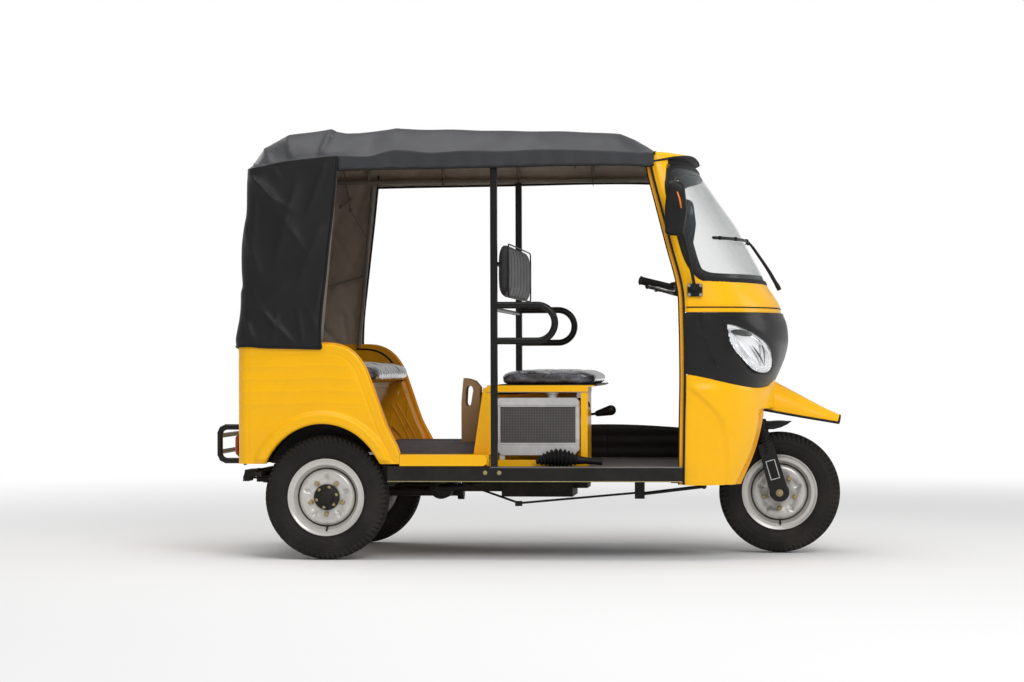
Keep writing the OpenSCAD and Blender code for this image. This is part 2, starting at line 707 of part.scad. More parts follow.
module fork_legs() color("#161618") steered() {
  leg_y = 92;
  yoke_z = 356;
  yoke_t = 24;
  both_sides() translate([0, leg_y, 0]) {
    // slider, stanchion and spring cover
    translate([0, 0, -30]) cylinder(r = 27, h = 250);
    translate([0, 0, 215]) cylinder(r = 19, h = 168);
    translate([0, 0, 284]) cylinder(r = 28, h = 60);
  }
  rotate([90, 0, 0]) cylinder(r = 8, h = 2 * leg_y, center = true);
  // yoke that joins the legs, and the stem through the head tube
  translate([0, 0, yoke_z]) hull() {
    both_sides() translate([0, leg_y, 0]) cylinder(r = 26, h = yoke_t, $fn = 32);
    translate([-fork_offset, 0, 0]) cylinder(r = 34, h = yoke_t, $fn = 32);
  }
  translate([-fork_offset, 0, yoke_z + 8]) cylinder(r = 18, h = clamp_z - 17 - yoke_z - 8);
  // small mudguard over the tyre, hung from the yoke
  guard_r = tyre_r + 50;
  difference() {
    rotate([90, 0, 0]) cylinder(r = guard_r, h = 150, center = true);
    rotate([90, 0, 0]) cylinder(r = guard_r - 8, h = 152, center = true);
    box([-400, -100, -400], [400, 100, 240]);
    box([120, -100, -400], [400, 100, 500]);
    box([-400, -100, -400], [-120, 100, 500]);
  }
  for (s = [-1, 1]) box([-20, s * 60 - 4, 300], [20, s * 60 + 4, yoke_z + 4]);
}

clamp_z = 925;

module handlebar() color("#141416") {
  steered() translate([-fork_offset, 0, clamp_z]) {
    box([-24, -48, -16], [24, 48, 26]);
    // instrument pod over the clamp
    translate([18, 0, 26]) box([-45, -62, 0], [40, 62, 52]);
  }
  both_sides() {
    clamp = steered_point([-fork_offset, 30, clamp_z + 12]);
    bend = clamp + [-20, 110, 22];
    grip_in = [655, 262, 1222];
    grip_out = [520, 338, 1254];
    bent_tube([clamp, bend, grip_in, grip_out], 11);
    rod(grip_in, grip_out, 17);
    // switch block and lever
    translate(grip_in + [10, -6, 0]) sphere(r = 27);
    rod(grip_in + [12, 8, -4], grip_in + [20, 52, -12], 6);
    rod(grip_in + [19, 48, -11], grip_out + [46, 26, -26], 5);
  }
}

// A point of the steered frame in the vehicle's frame
function steered_point(p) = [
  front_x + p[0] * cos(rake) - p[2] * sin(rake),
  p[1],
  tyre_r + p[0] * sin(rake) + p[2] * cos(rake)
];

// ---------------------------------------------------------------- wheels

// Half of the tyre's outline: radius and distance from its middle
tyre_half = [[153.5, 45.5], [rim_r, 49], [rim_r + 1.5, 54], [rim_r + 8, 56], [215, tyre_w / 2], [252, 56], [tyre_r - 12, 52],
  [tyre_r - 3, 42], [tyre_r, 24]];

module tyre(x, y) color("#1b1b1c") translate([x, y, tyre_r]) rotate([90, 0, 0])
  rotate_extrude() polygon(concat(
    [for (p = tyre_half) [p[0], -p[1]]],
    [for (i = [len(tyre_half) - 1:-1:0]) tyre_half[i]]
  ));

// Pressed steel wheel with a dished disc; side is the way its outer face looks
module rim(x, y, side, hub_r, back) color("#c9cbce") translate([x, y, tyre_r]) rotate([side > 0 ? -90 : 90, 0, 0]) {
  // barrel with rolled edges
  rotate_extrude() polygon([[146, -46], [rim_r, -50], [rim_r, -53], [142, -49], [142, 49], [rim_r, 53], [rim_r, 50],
    [146, 46]]);
  // disc
  difference() {
    rotate_extrude() polygon([[0, 8], [60, 8], [96, 18], [130, 6], [143, 6], [143, 14], [130, 14], [96, 27], [60, 17],
      [0, 17]]);
    for (k = [0:7]) rotate([0, 0, 45 * k + 22.5]) translate([118, 0, -20]) cylinder(r = 10, h = 60);
  }
  // hub, wheel nuts and cap
  translate([0, 0, -back]) cylinder(r = hub_r, h = back + 9);
  translate([0, 0, 16]) cylinder(r = 44, h = 16);
  for (k = [0:4]) rotate([0, 0, 72 * k + 90]) translate([72, 0, 10]) cylinder(r = 11, h = 20, $fn = 6);
}

module front_rim() difference() {
  rim(front_x, 0, -1, 46, 40);
  translate([front_x, 0, tyre_r]) rotate([90, 0, 0]) cylinder(r = 10, h = 240, center = true);
}
module front_tyre() tyre(front_x, 0);
module rear_rim_right() rim(rear_x, -rear_y, -1, 60, 66);
module rear_tyre_right() tyre(rear_x, -rear_y);
module rear_rim_left() rim(rear_x, rear_y, 1, 60, 66);
module rear_tyre_left() tyre(rear_x, rear_y);

// ---------------------------------------------------------------- choice of node

chassis_rails();
cross_members();
steering_neck();
side_sills();
front_floor();
rear_floor();
quarter_panel_right();
quarter_panel_left();
rear_wall();
passenger_seat_base();
passenger_cushion();
passenger_backrest();
canopy();
canopy_frame();
rear_window();
pillars();
driver_backrest();
armrest_loops();
driver_seat_box();
driver_cushion();
radiator();
coolant_tank();
engine_block();
rear_axle();
leaf_springs();
front_cowl();
nose_mask();
cab_frame();
windscreen();
headlights();
beak_mudguard();
leg_shield();
kick_panel();
mirrors();
wiper();
rear_bumper();
tail_lights();
floor_controls();
fork_legs();
handlebar();
front_rim();
front_tyre();
rear_rim_right();
rear_tyre_right();
rear_rim_left();
rear_tyre_left();
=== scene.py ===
"""Three-wheeled passenger auto rickshaw: the looks of a fixed frame, made as an add-on layout."""

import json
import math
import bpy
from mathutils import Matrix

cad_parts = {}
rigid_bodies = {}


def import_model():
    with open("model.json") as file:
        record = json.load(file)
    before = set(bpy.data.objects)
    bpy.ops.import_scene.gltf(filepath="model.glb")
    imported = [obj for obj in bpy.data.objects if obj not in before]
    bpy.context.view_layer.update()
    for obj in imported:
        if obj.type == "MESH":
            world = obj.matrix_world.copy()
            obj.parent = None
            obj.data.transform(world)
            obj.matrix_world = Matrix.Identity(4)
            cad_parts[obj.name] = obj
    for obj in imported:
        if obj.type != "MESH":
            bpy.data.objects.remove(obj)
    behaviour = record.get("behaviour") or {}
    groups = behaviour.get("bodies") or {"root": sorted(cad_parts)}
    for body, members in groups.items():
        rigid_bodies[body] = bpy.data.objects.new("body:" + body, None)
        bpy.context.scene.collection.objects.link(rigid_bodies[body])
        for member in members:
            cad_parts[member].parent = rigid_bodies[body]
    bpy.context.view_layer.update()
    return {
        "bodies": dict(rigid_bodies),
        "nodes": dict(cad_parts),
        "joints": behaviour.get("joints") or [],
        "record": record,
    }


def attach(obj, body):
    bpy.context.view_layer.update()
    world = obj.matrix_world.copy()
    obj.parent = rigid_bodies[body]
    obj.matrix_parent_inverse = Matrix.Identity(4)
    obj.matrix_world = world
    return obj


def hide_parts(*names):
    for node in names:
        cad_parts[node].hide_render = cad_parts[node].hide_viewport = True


bl_info = {
    "name": "Auto rickshaw",
    "version": (1, 0, 0),
    "blender": (4, 5, 0),
    "location": "3D View > Sidebar > Rickshaw",
    "description": "Builds the canopy, cab, tub, seats, wheels and trim of an auto rickshaw",
    "category": "Add Mesh",
}

import bmesh
import bpy
import numpy as np
from mathutils import Matrix

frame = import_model()
MM = 0.001
SIDES = (-1, 1)
HANDS = ((-1, "right"), (1, "left"))

# ---------------------------------------------------------------- numbers along curves


def mm(*values):
    """Points or lengths in millimetres as an array in metres."""
    return np.array(values[0] if len(values) == 1 else values, float) * MM


def circle(count):
    """Angles of count points round a full turn."""
    return np.linspace(0, 2 * np.pi, count, endpoint=False)


def band(across, above):
    """Profile of a flat strip, from its half width and half thickness in millimetres."""
    return mm([(-across, -above), (-across, above), (across, above), (across, -above)])


def field(x, y, z):
    """Grid of points from their x, y and z in millimetres, each a number, a row or a whole grid."""
    return np.stack(np.broadcast_arrays(x, y, z), axis=-1) * MM


def table(x, rows):
    """Smooth curve through rows of (x, y): a cubic between neighbours, with each row's slope the
    mean of the slopes beside it, and zero at a peak, so that it never overshoots."""
    xs, ys = np.array(rows, float).T
    x = np.clip(x, xs[0], xs[-1])
    gap = np.diff(xs)
    step = np.diff(ys) / gap
    slope = np.concatenate([step[:1], (step[1:] + step[:-1]) / 2, step[-1:]])
    inner = slope[1:-1]
    inner[step[1:] * step[:-1] <= 0] = 0
    steep = 3 * np.minimum(abs(step[1:]), abs(step[:-1]))
    slope[1:-1] = np.clip(inner, -steep, steep)
    i = np.clip(np.searchsorted(xs, x, side="right") - 1, 0, len(xs) - 2)
    t = (x - xs[i]) / gap[i]
    a, b = ys[i], ys[i + 1]
    ma, mb = slope[i] * gap[i], slope[i + 1] * gap[i]
    return a + ma * t + (3 * (b - a) - 2 * ma - mb) * t**2 + (2 * (a - b) + ma + mb) * t**3


def ease(t):
    """0 below 0, 1 above 1, and 3tt - 2ttt between."""
    t = np.clip(t, 0, 1)
    return t * t * (3 - 2 * t)


def bump(d, width):
    """1 where d is 0, falling to nothing over width as a bell curve."""
    return np.exp(-((d / width) ** 2))


def unit(v):
    """Vectors of length one."""
    return v / np.maximum(np.linalg.norm(v, axis=-1, keepdims=True), 1e-12)


def from_line(p, q, a, b):
    """Distance of the plane points (p, q) from the stretch a to b, and how far along it they are."""
    a, b = np.array(a, float), np.array(b, float)
    along = b - a
    t = np.clip(((p - a[0]) * along[0] + (q - a[1]) * along[1]) / (along @ along), 0, 1)
    return np.hypot(p - a[0] - t * along[0], q - a[1] - t * along[1]), t


def from_path(p, q, points):
    """Distance of the plane points (p, q) from the nearest stretch of an open path."""
    gaps = [from_line(p, q, a, b)[0] for a, b in zip(points[:-1], points[1:])]
    return np.min(gaps, axis=0)


def rounded(points, radius, steps=8):
    """A path whose inner corners are replaced by curves that start radius before the corner: each
    is (1 - t)(1 - t) a + 2 t (1 - t) corner + t t b."""
    points = np.array(points, float)
    t = np.linspace(0, 1, steps)[:, None]
    out = [points[:1]]
    for before, here, after in zip(points[:-2], points[1:-1], points[2:]):
        u, w = before - here, after - here
        cut = min(radius, np.linalg.norm(u) * 0.49, np.linalg.norm(w) * 0.49)
        a, b = here + unit(u) * cut, here + unit(w) * cut
        out.append((1 - t) ** 2 * a + 2 * t * (1 - t) * here + t**2 * b)
    out.append(points[-1:])
    return np.concatenate(out)


def spread(points, count, closed=False):
    """The same path with count points at equal steps."""
    points = np.array(points, float)
    if closed:
        points = np.vstack([points, points[:1]])
    run = np.concatenate([[0], np.cumsum(np.linalg.norm(np.diff(points, axis=0), axis=1))])
    at = np.linspace(0, run[-1], count + 1)[:-1] if closed else np.linspace(0, run[-1], count)
    return np.stack([np.interp(at, run, c) for c in points.T], axis=1)


def curve_through(points, count):
    """A smooth path through points: each of x, y and z is a table over the running length."""
    points = np.array(points, float)
    run = np.concatenate([[0], np.cumsum(np.linalg.norm(np.diff(points, axis=0), axis=1))])
    at = np.linspace(0, run[-1], count)
    return np.stack([table(at, np.stack([run, c], axis=1)) for c in points.T], axis=1)


# ---------------------------------------------------------------- meshes


def grid_faces(nu, nv, closed_u=False, closed_v=False):
    """Corner numbers of the cells of a grid of nu by nv points; a closed side joins its ends."""
    i, j = np.meshgrid(np.arange(nu if closed_u else nu - 1), np.arange(nv if closed_v else nv - 1), indexing="ij")
    k, m = (i + 1) % nu, (j + 1) % nv
    return np.stack([i * nv + j, k * nv + j, k * nv + m, i * nv + m], axis=-1).reshape(-1, 4)


def normals(p):
    """Outward directions of a grid of points: the cross product of its steps in u and in v."""
    return unit(np.cross(np.gradient(p, axis=0), np.gradient(p, axis=1)))


def heading(path, closed):
    """Directions along a path at its points."""
    return unit(np.roll(path, -1, 0) - np.roll(path, 1, 0) if closed else np.gradient(path, axis=0))


def carried(path, up, profile, closed, size=1.0):
    """A profile (across, above) times size, carried along a path: across is the cross product of
    up and the path's direction, and above is the cross product of that direction and across."""
    run = heading(path, closed)
    across = unit(np.cross(up, run))
    above = np.cross(run, across)
    scaled = profile * np.broadcast_to(size, len(path))[:, None, None]
    return path[:, None] + across[:, None] * scaled[..., :1] + above[:, None] * scaled[..., 1:]


def ribbon(path, up, profile, closed=True):
    """A profile carried along a path that has its own upward directions."""
    return carried(path, up, profile, closed)[:, ::-1]


class Shape:
    """Gathers grids of points into one mesh. A face looks along cross(step in u, step in v)."""

    def __init__(self):
        self.points, self.faces, self.slots, self.count = [], [], [], 0

    def add(self, points, faces, slot=0):
        """Points and the faces between them, in one material slot."""
        points = np.asarray(points, float).reshape(-1, 3)
        self.faces += (faces + self.count).tolist()
        self.slots += [slot] * len(faces)
        self.points.append(points)
        self.count += len(points)
        return self

    def grid(self, p, closed_u=False, closed_v=False, slot=0, flip=False, keep=None):
        """One sheet of cells; keep chooses the cells that are made."""
        faces = grid_faces(*p.shape[:2], closed_u, closed_v)
        if keep is not None:
            faces = faces[keep.ravel()]
        return self.add(p, faces[:, ::-1] if flip else faces, slot)

    def slab(self, outer, inner, slot=0, back=None, keep=None):
        """A closed body between two like grids: the outer face, the inner face and the rims
        round every kept cell that has no neighbour."""
        nu, nv = outer.shape[:2]
        kept = np.ones((nu - 1, nv - 1), bool) if keep is None else keep
        faces = grid_faces(nu, nv).reshape(nu - 1, nv - 1, 4)
        base, total = self.count, nu * nv
        self.add(outer, faces[kept], slot)
        self.add(inner, faces[kept][:, ::-1], slot if back is None else back)
        wide = np.pad(kept, 1)
        sides = (wide[1:-1, :-2], wide[2:, 1:-1], wide[1:-1, 2:], wide[:-2, 1:-1])
        for a, beside in enumerate(sides):
            edge = faces[kept & ~beside]
            here, after = edge[:, a], edge[:, (a + 1) % 4]
            self.faces += (np.stack([after, here, here + total, after + total], axis=1) + base).tolist()
            self.slots += [slot] * len(edge)
        return self

    def fan(self, ring, slot=0, flip=False):
        """Closes a ring of points with triangles to its middle."""
        n = len(ring)
        i = np.arange(n)
        faces = np.stack([i, (i + 1) % n, np.full(n, n)], axis=1)
        return self.add(np.vstack([ring, ring.mean(axis=0)]), faces[:, ::-1] if flip else faces, slot)

    def drawn(self, p, closed=False, slot=0, flip=True):
        """Rings of points joined along a path, with a fan over each end of an open path."""
        self.grid(p, closed_u=closed, closed_v=True, slot=slot, flip=flip)
        if not closed:
            self.fan(p[0], slot, not flip)
            self.fan(p[-1], slot, flip)
        return self

    def sweep(self, path, profile, closed=False, up=(0, 0, 1), slot=0, scale=1.0):
        """A profile carried along a path."""
        return self.drawn(carried(path, up, profile, closed, scale), closed, slot)

    def tube(self, path, radius, sides=12, closed=False, slot=0):
        """A round bar along a path. Each ring's sideways direction is the last ring's, made
        square to the path again, so that the bar never twists."""
        run = heading(path, closed)
        side = np.cross(run[0], (0, 0, 1) if abs(run[0][2]) < 0.9 else (1, 0, 0))
        frames = []
        for direction in run:
            side = unit(side - (side @ direction) * direction)
            frames.append(side)
        side = np.array(frames)
        other = np.cross(run, side)
        a = (np.arange(sides) / sides * 2 * np.pi)[None, :, None]
        r = np.broadcast_to(radius, len(path))[:, None, None]
        p = path[:, None] + r * (np.cos(a) * side[:, None] + np.sin(a) * other[:, None])
        return self.drawn(p, closed, slot)

    def turned(self, profile, centre, axis="y", sides=48, slot=0, flip=False, wave=None):
        """A profile (radius, along) turned round an axis; wave may move each ring's points."""
        a = (np.arange(sides) / sides * 2 * np.pi)[:, None]
        r, h = profile.T[:, None]
        if wave is not None:
            r, h = wave(a, r, h)
        r, h = r + 0 * a, h + 0 * a
        c, s = np.cos(a) * r, np.sin(a) * r
        stack = {"x": (h, c, s), "y": (c, h, -s), "z": (c, s, h)}[axis]
        return self.grid(np.stack(stack, axis=-1) + centre, closed_u=True, slot=slot, flip=flip)

    def set_at(self, place):
        """Takes a shape drawn in millimetres round the origin to its place."""
        self.points = [points * MM + place for points in self.points]
        return self

    def bar(self, low, high, slot=0, soften=0.0):
        """A plain bar with its long edges cut at 45 degrees by soften."""
        size = high - low
        long = int(np.argmax(size))
        a, b = [k for k in range(3) if k != long]
        c = min(soften, size[a] * 0.45, size[b] * 0.45)
        ring = np.array([
            (low[a] + c, low[b]), (high[a] - c, low[b]), (high[a], low[b] + c), (high[a], high[b] - c),
            (high[a] - c, high[b]), (low[a] + c, high[b]), (low[a], high[b] - c), (low[a], low[b] + c),
        ])
        p = np.zeros((4, 8, 3))
        middle = ring.mean(axis=0)
        inner = middle + (ring - middle) * (1 - 2 * c / np.maximum(abs(ring - middle) * 2, 1e-9))
        p[..., long] = np.array([low[long], low[long] + c, high[long] - c, high[long]])[:, None]
        p[..., [a, b]] = [inner, ring, ring, inner]
        return self.drawn(p, slot=slot, flip=long != 1)

    def bolts(self, centres, direction, radius, height, sides=6):
        """Heads with a washer at each centre, standing along direction: hexagons, or round ones
        where sides isn't 6."""
        direction = unit(np.array(direction, float))
        side = unit(np.cross(direction, (0, 0, 1) if abs(direction[2]) < 0.9 else (1, 0, 0)))
        other = np.cross(direction, side)
        n = 12 if sides == 6 else sides
        a = np.arange(n) / n * 2 * np.pi
        spokes = np.cos(a)[:, None] * side + np.sin(a)[:, None] * other
        hexed = 1 / np.maximum(np.cos((a + np.pi / 6) % (np.pi / 3) - np.pi / 6), 0.86)
        head = hexed * 0.87 if sides == 6 else np.ones(n)
        washer = np.full(n, 1.35)
        rings = ((washer, 0.0), (washer, 0.16), (head, 0.18), (head, 0.85), (head * 0.8, 1.0))
        for centre in centres:
            p = np.array([centre + direction * height * h + radius * ring[:, None] * spokes for ring, h in rings])
            self.grid(p, closed_v=True)
            self.fan(p[-1])
        return self

    def build(self, name, materials, angle=35, merge=2e-5, body="chassis", replaces=()):
        """The finished object, on its body, with doubles merged and sharp edges kept."""
        mesh = bpy.data.meshes.new(name)
        mesh.from_pydata(np.concatenate(self.points).tolist(), [], self.faces)
        mesh.polygons.foreach_set("material_index", np.array(self.slots, dtype=np.int32))
        for material in materials:
            mesh.materials.append(finish(material))
        clean(mesh, merge)
        mesh.shade_smooth()
        mesh.set_sharp_from_angle(angle=math.radians(angle))
        piece = bpy.data.objects.new(name, mesh)
        bpy.context.scene.collection.objects.link(piece)
        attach(piece, body)
        if replaces:
            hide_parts(*replaces)
        FINISHES[materials[0]].get("slot", materials[0])
        return piece


def clean(mesh, merge):
    """Merges doubled points and drops faces without area and points without faces."""
    work = bmesh.new()
    work.from_mesh(mesh)
    bmesh.ops.remove_doubles(work, verts=work.verts, dist=merge)
    bmesh.ops.dissolve_degenerate(work, edges=work.edges, dist=1e-6)
    loose = [v for v in work.verts if not v.link_faces]
    bmesh.ops.delete(work, geom=loose, context="VERTS")
    work.to_mesh(mesh)
    work.free()


def modify(piece, kind, **settings):
    """Adds a modifier with its settings."""
    modifier = piece.modifiers.new(kind.title(), kind)
    for key, value in settings.items():
        setattr(modifier, key, value)
    return modifier


def subdivide(piece, levels=1):
    """Rounds a mesh by subdivision, the same in view and in render."""
    return modify(piece, "SUBSURF", levels=levels, render_levels=levels)


def thicken(piece, thickness, back=0, rim=0, offset=-1.0):
    """Gives a sheet its wall; back and rim shift the material of the far side and the edge."""
    return modify(
        piece, "SOLIDIFY", thickness=thickness, offset=offset, use_even_offset=False,
        material_offset=back, material_offset_rim=rim,
    )


# ---------------------------------------------------------------- finishes


class Wires:
    """Short words for making nodes in one tree."""

    def __init__(self, tree):
        self.tree = tree

    def node(self, kind, inputs=None, **settings):
        """A node with its settings, its inputs set or wired."""
        node = self.tree.nodes.new("ShaderNode" + kind)
        for key, value in settings.items():
            setattr(node, key, value)
        for key, value in (inputs or {}).items():
            self.feed(node.inputs[key], value)
        return node

    def feed(self, socket, value):
        """Wires a socket to another, or sets its value."""
        if isinstance(value, bpy.types.NodeSocket):
            self.tree.links.new(value, socket)
        else:
            socket.default_value = value

    def math(self, operation, a, b=0.0, c=0.0, clamp=False):
        """One Math node on up to three values."""
        node = self.node("Math", operation=operation, use_clamp=clamp)
        for socket, value in zip(node.inputs, (a, b, c)):
            self.feed(socket, value)
        return node.outputs[0]

    def times(self, a, b, clamp=False):
        """a b."""
        return self.math("MULTIPLY", a, b, clamp=clamp)

    def plus(self, a, b, clamp=False):
        """a + b."""
        return self.math("ADD", a, b, clamp=clamp)

    def less(self, a, b, clamp=False):
        """a - b."""
        return self.math("SUBTRACT", a, b, clamp=clamp)

    def noise(self, vector, scale, detail=3.0, rough=0.5, stretch=None):
        """Cloudy noise from 0 to 1, drawn out along the axes by stretch."""
        if stretch is not None:
            vector = self.node("Mapping", {"Vector": vector, "Scale": stretch}).outputs[0]
        return self.node(
            "TexNoise", {"Vector": vector, "Scale": scale, "Detail": detail, "Roughness": rough}
        ).outputs[0]

    def between(self, value, low, high, to_low=0.0, to_high=1.0):
        """A smooth step that takes low to to_low and high to to_high."""
        return self.node(
            "MapRange",
            {"Value": value, "From Min": low, "From Max": high, "To Min": to_low, "To Max": to_high},
            interpolation_type="SMOOTHSTEP",
        ).outputs[0]

    def blend(self, factor, a, b):
        """The colour a (1 - factor) + b factor."""
        node = self.node("Mix", data_type="RGBA", clamp_factor=True)
        self.feed(node.inputs[0], factor)
        self.feed(node.inputs[6], a)
        self.feed(node.inputs[7], b)
        return node.outputs[2]

    def axes(self, vector):
        """The x, y and z of a vector."""
        return self.node("SeparateXYZ", {"Vector": vector}).outputs


GROUPS = {}


def effect(name, inputs, output, kind="NodeSocketFloat"):
    """Declares a shared effect: a node group with named inputs and one named output."""

    def keep(make):
        GROUPS[name] = (inputs, output, kind, make)
        return make

    return keep


def placed(wires, name, **values):
    """Places a shared effect in a material's tree and gives its output."""
    if not isinstance(GROUPS[name], bpy.types.NodeTree):
        inputs, output, kind, make = GROUPS[name]
        tree = bpy.data.node_groups.new(name, "ShaderNodeTree")
        for label, socket, default in inputs:
            new = tree.interface.new_socket(label, in_out="INPUT", socket_type=socket)
            if default is not None:
                new.default_value = default
        tree.interface.new_socket(output, in_out="OUTPUT", socket_type=kind)
        start, end = tree.nodes.new("NodeGroupInput"), tree.nodes.new("NodeGroupOutput")
        result = make(Wires(tree), {s.name: s for s in start.outputs if s.name})
        tree.links.new(result, end.inputs[0])
        GROUPS[name] = tree
    node = wires.tree.nodes.new("ShaderNodeGroup")
    node.node_tree = GROUPS[name]
    for label, value in values.items():
        wires.feed(node.inputs[label], value)
    return node.outputs[0]


VECTOR = ("Vector", "NodeSocketVector", None)


def number(label, default):
    """A named number going into an effect."""
    return (label, "NodeSocketFloat", default)


@effect(
    "uneven tone",
    [VECTOR, ("Color", "NodeSocketColor", (1, 1, 1, 1)), number("Scale", 4.0), number("Amount", 0.1)],
    "Color", "NodeSocketColor",
)
def uneven_tone(w, i):
    """The colour, darker by Amount where a cloudy noise and a finer one are low."""
    broad = w.noise(i["Vector"], i["Scale"], 3)
    fine = w.noise(i["Vector"], w.times(i["Scale"], 9.0), 2)
    mixed = w.math("MULTIPLY_ADD", fine, 0.35, w.times(broad, 0.65))
    dark = w.less(1.0, w.times(i["Amount"], w.between(mixed, 0.68, 0.32)))
    return w.node("VectorMath", {0: i["Color"], "Scale": dark}, operation="SCALE").outputs[0]


@effect("road dust", [VECTOR, number("Top", 0.6), number("Amount", 0.5)], "Mask")
def road_dust(w, i):
    """A mask that is strongest at the ground, fades out by Top, and is broken up by noise."""
    height = w.axes(i["Vector"])[2]
    low = w.less(1.0, w.math("DIVIDE", height, i["Top"]), clamp=True)
    cloud = w.between(w.noise(i["Vector"], 7.0, 5, 0.65), 0.35, 0.75)
    return w.times(w.times(low, i["Amount"]), w.plus(cloud, 0.25), clamp=True)


@effect("pebbled grain", [VECTOR, number("Scale", 600.0), number("Depth", 1.0)], "Height")
def pebbled_grain(w, i):
    """Small rounded cells, as on embossed vinyl or moulded plastic, with a softer noise under them."""
    cells = w.node("TexVoronoi", {"Vector": i["Vector"], "Scale": i["Scale"]}, feature="SMOOTH_F1").outputs[0]
    soft = w.noise(i["Vector"], w.times(i["Scale"], 0.2), 2)
    return w.times(i["Depth"], w.plus(cells, w.times(soft, 0.5)))


@effect("fine scratches", [VECTOR, number("Scale", 30.0), number("Amount", 0.5)], "Mask")
def fine_scratches(w, i):
    """Thin lines where two noises stretched across each other are near their middle value."""
    one = w.noise(i["Vector"], i["Scale"], 2, 0.5, (1, 0.08, 0.3))
    two = w.noise(i["Vector"], w.times(i["Scale"], 1.7), 2, 0.5, (0.1, 1, 0.4))
    lines = [w.between(w.math("ABSOLUTE", w.less(n, 0.5)), 0.012, 0.0) for n in (one, two)]
    patch = w.between(w.noise(i["Vector"], 3.0, 2), 0.5, 0.7)
    return w.times(w.math("MAXIMUM", *lines), w.times(patch, i["Amount"]), clamp=True)


@effect("woven backing", [VECTOR, number("Scale", 900.0)], "Height")
def woven_backing(w, i):
    """Crossing threads: one wave across the other, each hidden where the other is high."""
    x, y, z = w.axes(i["Vector"])
    across = w.math("SINE", w.times(w.plus(x, y), i["Scale"]))
    up = w.math("SINE", w.times(w.plus(z, w.times(y, 0.35)), i["Scale"]))
    return w.math("MAXIMUM", across, up)


@effect("crumpled film", [VECTOR, number("Scale", 22.0)], "Height")
def crumpled_film(w, i):
    """Sharp creases of a thin clear film: ridges where a bent noise crosses its middle value."""
    bend = w.noise(i["Vector"], w.times(i["Scale"], 0.5), 2)
    moved = w.node("VectorMath", {0: i["Vector"], 1: w.times(bend, 0.12)}, operation="ADD").outputs[0]
    creases = []
    for factor in (1.0, 2.3, 4.1):
        n = w.noise(moved, w.times(i["Scale"], factor), 1)
        creases.append(w.times(w.math("ABSOLUTE", w.less(n, 0.5)), 2.4 / factor))
    return w.plus(w.plus(creases[0], creases[1]), creases[2])


@effect("core mesh", [VECTOR, number("Pitch", 0.006)], "Mask")
def core_mesh(w, i):
    """A square wire screen: 1 on the wires of a grid of the given pitch in X and Z, 0 in its holes."""
    x, _, z = w.axes(i["Vector"])
    wires = []
    for value in (x, z):
        turn = w.math("FRACT", w.math("DIVIDE", value, i["Pitch"]))
        wires.append(w.between(w.math("ABSOLUTE", w.less(turn, 0.5)), 0.26, 0.34))
    return w.math("MAXIMUM", *wires)


def rgb(*values):
    """A colour given as it is seen, in shares of 255, as the linear colour that shaders use."""
    c = np.array(values, float) / 255
    linear = np.where(c <= 0.04045, c / 12.92, ((c + 0.055) / 1.055) ** 2.4)
    return (*linear.tolist(), 1.0)


YELLOW = rgb(253, 187, 0)
DUST = rgb(150, 138, 122)

